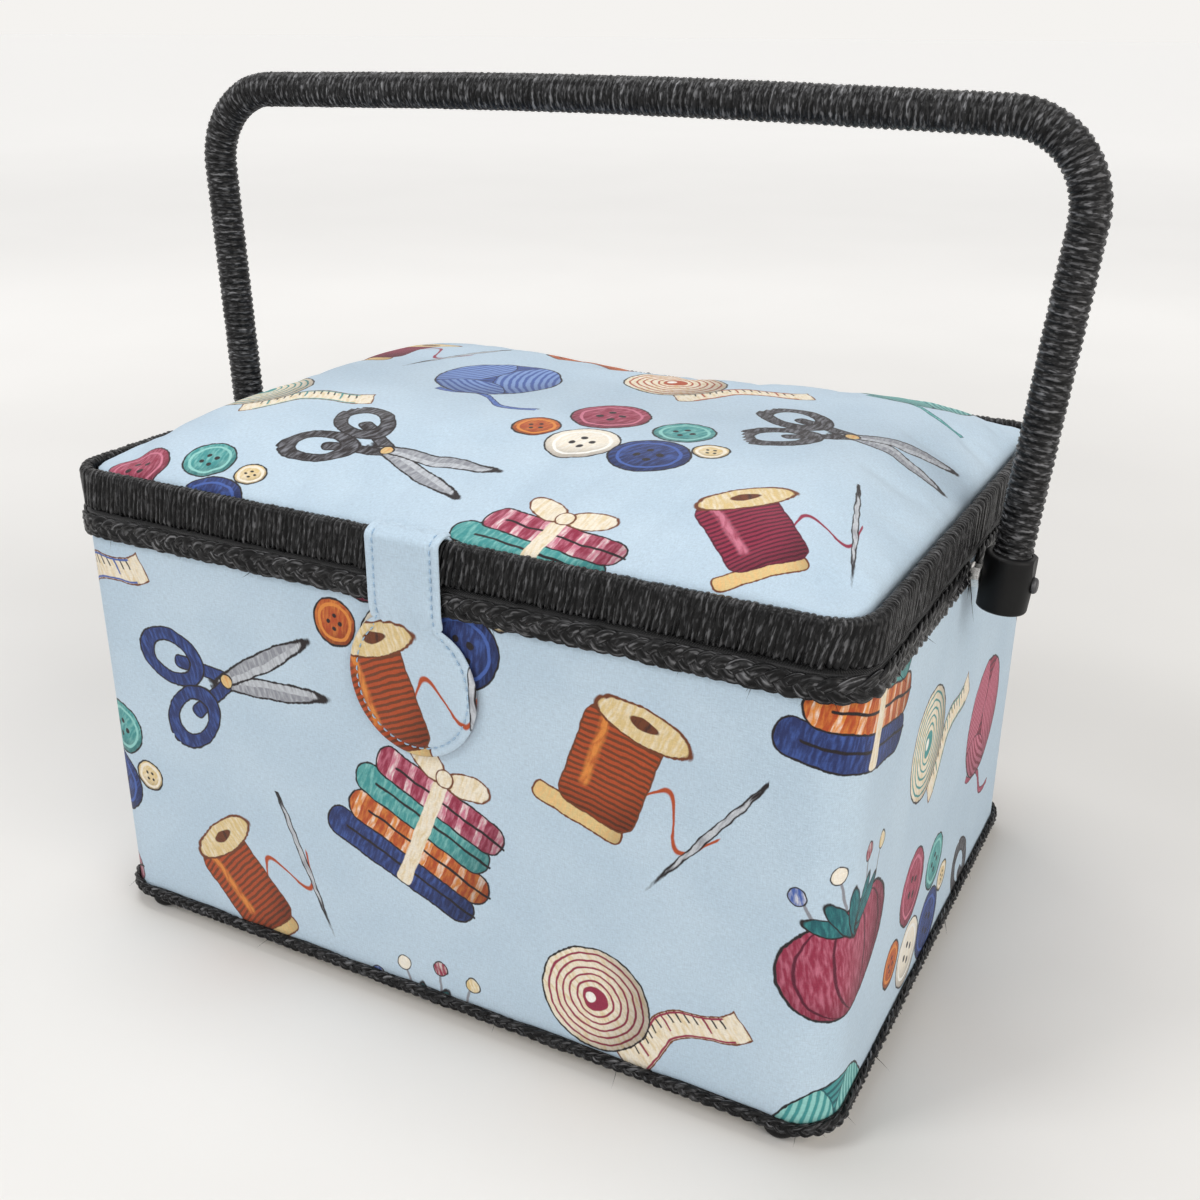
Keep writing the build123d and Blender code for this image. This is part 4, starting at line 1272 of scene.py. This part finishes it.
def tab_plan(length):
    """The tab's flat shape: places along it with its half widths there, its neck and its paddle's middle."""
    paddle_middle = length - paddle_half_z
    neck = paddle_middle - paddle_half_z * np.sqrt(1 - ((strap_half - 0.6) / paddle_half_x) ** 2)
    swing_from = np.arcsin((neck - paddle_middle) / paddle_half_z)
    angles = swing_from + (pi / 2 - 0.03 - swing_from) * np.linspace(0, 1, 70)
    paddle = paddle_middle + paddle_half_z * np.sin(angles)
    s = np.concatenate([[0.35, 0.7], np.linspace(1.3, neck - 0.8, 58), paddle])
    disc_half = paddle_half_x * np.sqrt((1 - ((s - paddle_middle) / paddle_half_z) ** 2).clip(0))
    half = np.where(s > neck - 0.4, disc_half, strap_half)
    half[0] -= 0.5
    half = half - 0.35 * np.exp(-((s - neck) / 1.6) ** 2)
    return s, half, neck, paddle_middle


def tab_faces(x, s, half, neck):
    """How far the tab's front and back stand off its middle, with the seam's groove and the creases."""
    s_grid = s[:, None] + 0 * x
    outline = stack(np.append(half, -half[::-1]), np.append(s, s[::-1]))
    steps = circle(4, 1)[:, None, None]
    outline = (outline * (1 - steps) + np.roll(outline, -1, axis=0) * steps).reshape(-1, 2)
    gap = np.linalg.norm(stack(x, s_grid)[:, :, None] - outline, axis=-1).min(axis=-1)
    puff = np.sqrt(1 - (1 - (gap / tab_edge_round).clip(0, 1)) ** 2)
    inside = gap - seam_inset
    groove = np.exp(-((inside / seam_width) ** 2))
    groove *= seam_depth + 0.1 * np.sin((s_grid + x) * tau / stitch_pitch)
    crown = (1 - np.exp(-(inside.clip(0) / 4))) * 0.35
    wrinkle = ripple(stack(x, s_grid * 0.7, 0), size=9, seed=61) * 0.12 * puff
    pucker = np.exp(-((s_grid - neck) / 3.5) ** 2) * np.sin(x * 1.3) * 0.3 * puff
    front = puff * tab_thickness / 2 - groove + crown + wrinkle + pucker - 0.25
    return front, -puff * (tab_thickness / 2 - 0.25)


def make_tab():
    """The padded tab: a strap that folds over the rim, with a round paddle."""
    line = tab_line(1200)
    length = line[-1][-1]
    s, half, neck, paddle_middle = tab_plan(length)
    across = np.sin(np.linspace(-1, 1, 46) * pi / 2 * 0.96)
    x = half[:, None] * across / across[-1]
    middle = on_line(line, s).T
    way = unit(np.gradient(middle, s, axis=0))
    upper, lower = [
        stack(x, middle[:, :1] + way[:, 1:] * lift, middle[:, 1:] - way[:, :1] * lift)
        for lift in tab_faces(x, s, half, neck)
    ]
    around = np.concatenate([upper, lower[:, -2:0:-1]], axis=1)[::-1]
    width = np.concatenate([x, x[:, -2:0:-1] + 60, x[:, :1]], axis=1)[::-1]
    cloth = stack(width, -s[::-1, None])
    piece = grid_mesh("tab_cloth", around, close_v=True, capped=True, cloth=cloth)
    # One motif on the front of the paddle and one on its back
    lay_print(piece, [(-3, -paddle_middle - 3, 12, 1, 1), (60, -paddle_middle - 3, 0, 3, 1)])
    dress(piece, None, "printed_cotton", *printed, replaced=["closure_tab", "tab_anchor", "tab_magnet"])
    piece = join("tab_cloth", [piece, sew_tab(s, half, neck, paddle_middle, line)])
    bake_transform(piece)


def capsule(start, end, radius, normal):
    """Points of a short stitch from start to end, its ends dipping into the cloth."""
    along = end - start
    side = np.cross(normal, unit(along))
    shares = np.array([0.0, 0.12, 0.35, 0.65, 0.88, 1.0])[:, None]
    sizes = np.array([0.2, 0.75, 1.0, 1.0, 0.75, 0.2])[:, None, None] * radius
    dips = np.array([0.5, 0.2, 0.0, 0.0, 0.2, 0.5])[:, None]
    theta = circle(8)[:, None]
    ring = np.cos(theta) * side + np.sin(theta) * normal
    return (start + along * shares - normal * dips)[:, None] + sizes * ring


def sew_tab(s, half, neck, paddle_middle, line):
    """The line of stitches just inside the tab's edge."""
    straight = (s > 3.0) & (s < neck - 1.5)
    turn = np.linspace(np.arcsin((neck + 2.0 - paddle_middle) / paddle_half_z), pi / 2, 90)
    curve_x = (paddle_half_x - seam_inset) * np.cos(turn)
    curve_s = paddle_middle + (paddle_half_z - seam_inset) * np.sin(turn)
    path = np.concatenate([stack(half - seam_inset, s)[straight], stack(curve_x, curve_s)])
    path = np.concatenate([path, path[::-1] * (-1, 1)])
    lengths = travelled(path)
    cloth = lattice(np.arange(6) * 0.5, np.arange(9) * 0.2)[..., ::-1]
    pieces = []
    for begin in np.arange(0.5, lengths[-1] - stitch_pitch, stitch_pitch):
        ends = []
        for place in (begin, begin + stitch_length):
            x, along = [np.interp(place, lengths, values) for values in path.T]
            near, far = on_line(line, along), on_line(line, along + 0.3)
            way = unit(far - near)
            normal = np.array([0, way[1], -way[0]])
            ends.append(np.array([x, *near]) + normal * (tab_thickness / 2 - 0.45))
        stitch = capsule(*ends, stitch_radius, normal)
        pieces.append(grid_mesh(f"stitch_{len(pieces)}", stitch, close_v=True, cloth=cloth))
    piece = join("tab_stitches", pieces)
    piece.data.materials.append(thread_blue)
    return piece


make_tab()


# Under the lid: lining, gathered pocket and pincushion

rounded_sheet("lid_lining_cloth", "lid", "lid_lining", body_corner - 4.3, lift=0.5, rows=40, puff=0.35)

pocket_folds = 27
gathered_by = 1.3


def pocket_belly(u):
    """How far the pocket stands off at a share of its width, 0 to 1."""
    return (1 - np.abs(2 * u - 1) ** 5).clip(0) ** 0.6


def gather_pocket():
    """A gathered pocket, sewn on three sides and open to the front, with more folds towards its mouth."""
    low, high = span("lid_pocket")
    band_low = span("pocket_elastic")[0]
    columns, rows = 221, 40
    wide, deep = high[0] - low[0], high[2] - band_low[2]
    u = np.linspace(0, 1, columns)[:, None]
    v = np.linspace(0, 1, rows)[None]
    x = low[0] + wide * u
    y = high[1] + (band_low[1] + 1.0 - high[1]) * v
    belly = pocket_belly(u)
    folds = np.sin(u * tau * pocket_folds + 0.7 * np.sin(u * tau * 5)) * 0.42 * v**1.6
    folds += ripple(stack(x, y * 0.5, 0), size=16, seed=81) * 0.35 * v
    depth = belly * (deep - 1.6) * (1 - (1 - v) ** 2.4)
    points = stack(x, y, high[2] - 0.5 - depth + folds * belly)
    piece = grid_mesh("pocket_cloth", points, cloth=points[..., :2] * (gathered_by, 1.05))
    thicken = piece.modifiers.new("Thickness", "SOLIDIFY")
    thicken.thickness = 0.5 * MM
    thicken.offset = -1
    lay_print(piece, half_drop(230, 120, columns=3, pitch=82, seed=12))
    dress(piece, "lid", "plain_lining", *printed, replaced=["lid_pocket"])


def band_pocket():
    """The elastic along the pocket's mouth."""
    low, high = span("lid_pocket")
    band_low, band_high = span("pocket_elastic")
    columns, around = 331, 20
    theta = circle(around)[None]
    u = np.linspace(0.004, 0.996, columns)[:, None]
    x = low[0] + (high[0] - low[0]) * u
    gather = np.sin(u * tau * 2 * pocket_folds) * 0.2 + ripple(stack(x, 0, 0), size=9, seed=82) * 0.12
    half_band = (band_high[1] - band_low[1]) / 2
    y = band_low[1] + half_band * (1 + np.cos(theta))
    level = high[2] - 0.9 - pocket_belly(u) * (high[2] - band_low[2] - 1.5)
    z = level + (0.62 + gather) * bulged(np.sin(theta), 1.2)
    cloth = lattice(x[:, 0], np.append(theta, tau) * half_band / 2)[..., ::-1]
    band = grid_mesh("pocket_band", stack(x, y, z)[::-1], close_v=True, capped=True, cloth=cloth)
    dress(band, "lid", "elastic", elastic_band, replaced=["pocket_elastic"])


gather_pocket()
band_pocket()


def soft_pad(name, middle, size, corner, low, high, crown, facing=1, around=160):
    """A closed pad with a rounded outline, whose upper or lower face is crowned and whose sides swell."""
    edge = loop_at(*size, corner, circle(around, loop_length(*size, corner)))[0]
    share = np.linspace(0.02, 0.97, 22)
    side = np.linspace(0, 1, 9)
    shares = np.concatenate([share, 0.985 + np.sin(side * pi) ** 0.8 * 0.02, share[::-1] * 0.985])
    crowned = (high - low) * (1 - crown * share**3)
    sides = crowned[-1] * (1 - side) * 0.94 + crowned[-1] * 0.03
    heights = np.concatenate([crowned, sides, np.zeros(share.size)])
    z = low + heights if facing > 0 else high - heights
    points = raised(middle[:2] + edge * shares[:, None, None], z[:, None])
    if facing < 0:
        points = points[:, ::-1]
    cloth = np.concatenate([points, points[:, :1]], axis=1)[..., :2]
    return grid_mesh(name, points, close_v=True, capped=True, cloth=cloth)


def make_pads():
    """The pad on the box's floor, and the pincushion under the lid."""
    low, high = span("base_pad")
    pad = soft_pad("floor_pad", (0, 0), high[:2], 9.5, low[2], high[2], crown=0.35)
    dress(pad, "box", "padding", lining_cloth, replaced=["base_pad"])
    low, high = span("pincushion")
    middle, half = (low + high) / 2, (high - low) / 2 - 1.0
    levels = low[2] + 1.2, high[2] - 0.4
    pad = soft_pad("pincushion_pad", middle, half[:2], 8.0, *levels, crown=0.3, facing=-1, around=96)
    inflate(pad, [], cap=1.4, pressure=3.0, frames=14)
    subdivide(pad)
    dress(pad, "lid", "padding", felt, replaced=["pincushion"])


make_pads()


def hang_ribbon():
    """The stay ribbon, folded in the closed box with its tip to the back."""
    low, high = span("lid_stay_ribbon")
    middle = (low + high) / 2
    route = [(low[1] + 2, low[2] + 0.4), (high[1] - 1.5, middle[2]), (low[1] + 2, high[2] - 0.4)]
    y, z, heading, s = rounded_route(route, radii=(1.3,), pitch=1.5)
    half_thick = 0.22
    sag = np.sin(np.linspace(0, pi, s.size)) ** 2 * np.sin(s / 9) * 0.35
    across = np.linspace(low[0], high[0], 7)
    upper, lower = [
        stack(across, (y - np.sin(heading) * lift)[:, None], (z + np.cos(heading) * lift)[:, None])
        for lift in (sag + half_thick, sag - half_thick)
    ]
    points = np.concatenate([upper, lower[:, ::-1]], axis=1)
    cloth = lattice(s, [*across, *across[::-1], across[0]])[..., ::-1]
    piece = grid_mesh("stay_ribbon", points[::-1], close_v=True, capped=True, cloth=cloth[::-1])
    dress(piece, None, "ribbon", grosgrain, replaced=["lid_stay_ribbon"])
    start, end = [(middle[0] * MM, middle[1] * MM, level * MM) for level in (low[2], high[2])]
    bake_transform(piece)
    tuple(start)
    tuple(end)


hang_ribbon()


# Camera, fitted to the photograph's own view

camera_place = (0.241652, -0.444039, 0.331625)
camera_right = (0.88279, 0.46972, 0.006762)
camera_up = (-0.187063, 0.338289, 0.922262)
camera_back = (0.430918, -0.815428, 0.386505)
camera = shown("camera", bpy.data.cameras.new("camera"))
camera.data.lens = 41.2
camera.data.sensor_width = 36.0
camera.data.clip_start = 0.01
camera.matrix_world = Matrix.Translation(camera_place) @ Matrix(
    (camera_right, camera_up, camera_back)
).transposed().to_4x4()
bpy.context.scene.camera = camera


# Light and stage

lamps_aim = (0, 0, 0.12)


def lamp(name, place, size, power, colour=(1, 1, 1)):
    """A soft square lamp that shines at the box."""
    data = bpy.data.lights.new(name, "AREA")
    data.shape = "SQUARE"
    data.size = size
    data.energy = power
    data.color = colour
    piece = shown(name, data)
    x, y, z = np.array(lamps_aim) - place
    piece.location = place
    piece.rotation_euler = atan2(hypot(x, y), -z), 0, atan2(y, x) - pi / 2


lamp("top", (-0.25, 0.1, 1.6), size=0.7, power=9)
lamp("key", (-1.0, -1.2, 1.5), size=0.6, power=11)
lamp("right", (1.7, -0.6, 1.1), size=1.5, power=19, colour=(1.0, 0.965, 0.91))
lamp("front", (0.3, -2.0, 0.9), size=0.7, power=5)


def seen_rays(tree):
    """1 where the camera, a reflection or a pane looks, 0 for light."""
    camera_ray, glossy, through = [
        add(tree, "LightPath", {}, f"Is {kind} Ray") for kind in ("Camera", "Glossy", "Transmission")
    ]
    return (camera_ray + glossy + through).least(1.0)


def make_world():
    """Soft light from all round, seen as a pale backdrop."""
    world = bpy.data.worlds.new("studio")
    world.use_nodes = True
    tree = world.node_tree
    seen = seen_rays(tree)
    background = tree.nodes["Background"]
    plug(tree, background.inputs["Color"], mixed(tree, seen, (0.98, 0.99, 1.0, 1), paint(247, 245, 242)))
    plug(tree, background.inputs["Strength"], seen * 0.66 + 0.32)
    bpy.context.scene.world = world


make_world()


def make_stage():
    """A pale floor that fades into the backdrop."""
    material, tree = new_material("studio_floor", Roughness=0.8, Specular_IOR_Level=0.1)
    place = object_place(tree)
    tone = noise(place, 0.004, 2.0).ramp(0.3, 0.7)
    away = place.length()
    rise = away.ramp(200, 1500, 0.0, 0.42) + away.ramp(900, 4500, 0.0, 0.18)
    ground = mixed(tree, tone, paint(238, 236, 233), paint(234, 232, 229))
    glow = seen_rays(tree) * rise
    feed(material, Base_Color=ground, Emission_Color=(1.0, 0.985, 0.965, 1), Emission_Strength=glow)
    reach = np.array([1, 60, 160, 320, 640, 1200, 2400, 5000, 10000, 40000.0])[:, None]
    turn = circle(48)
    floor = grid_mesh("studio_floor", stack(reach * np.cos(turn), reach * np.sin(turn), 0), close_v=True)
    floor.data.materials.append(material)


make_stage()
bpy.context.scene.view_settings.view_transform = "Standard"
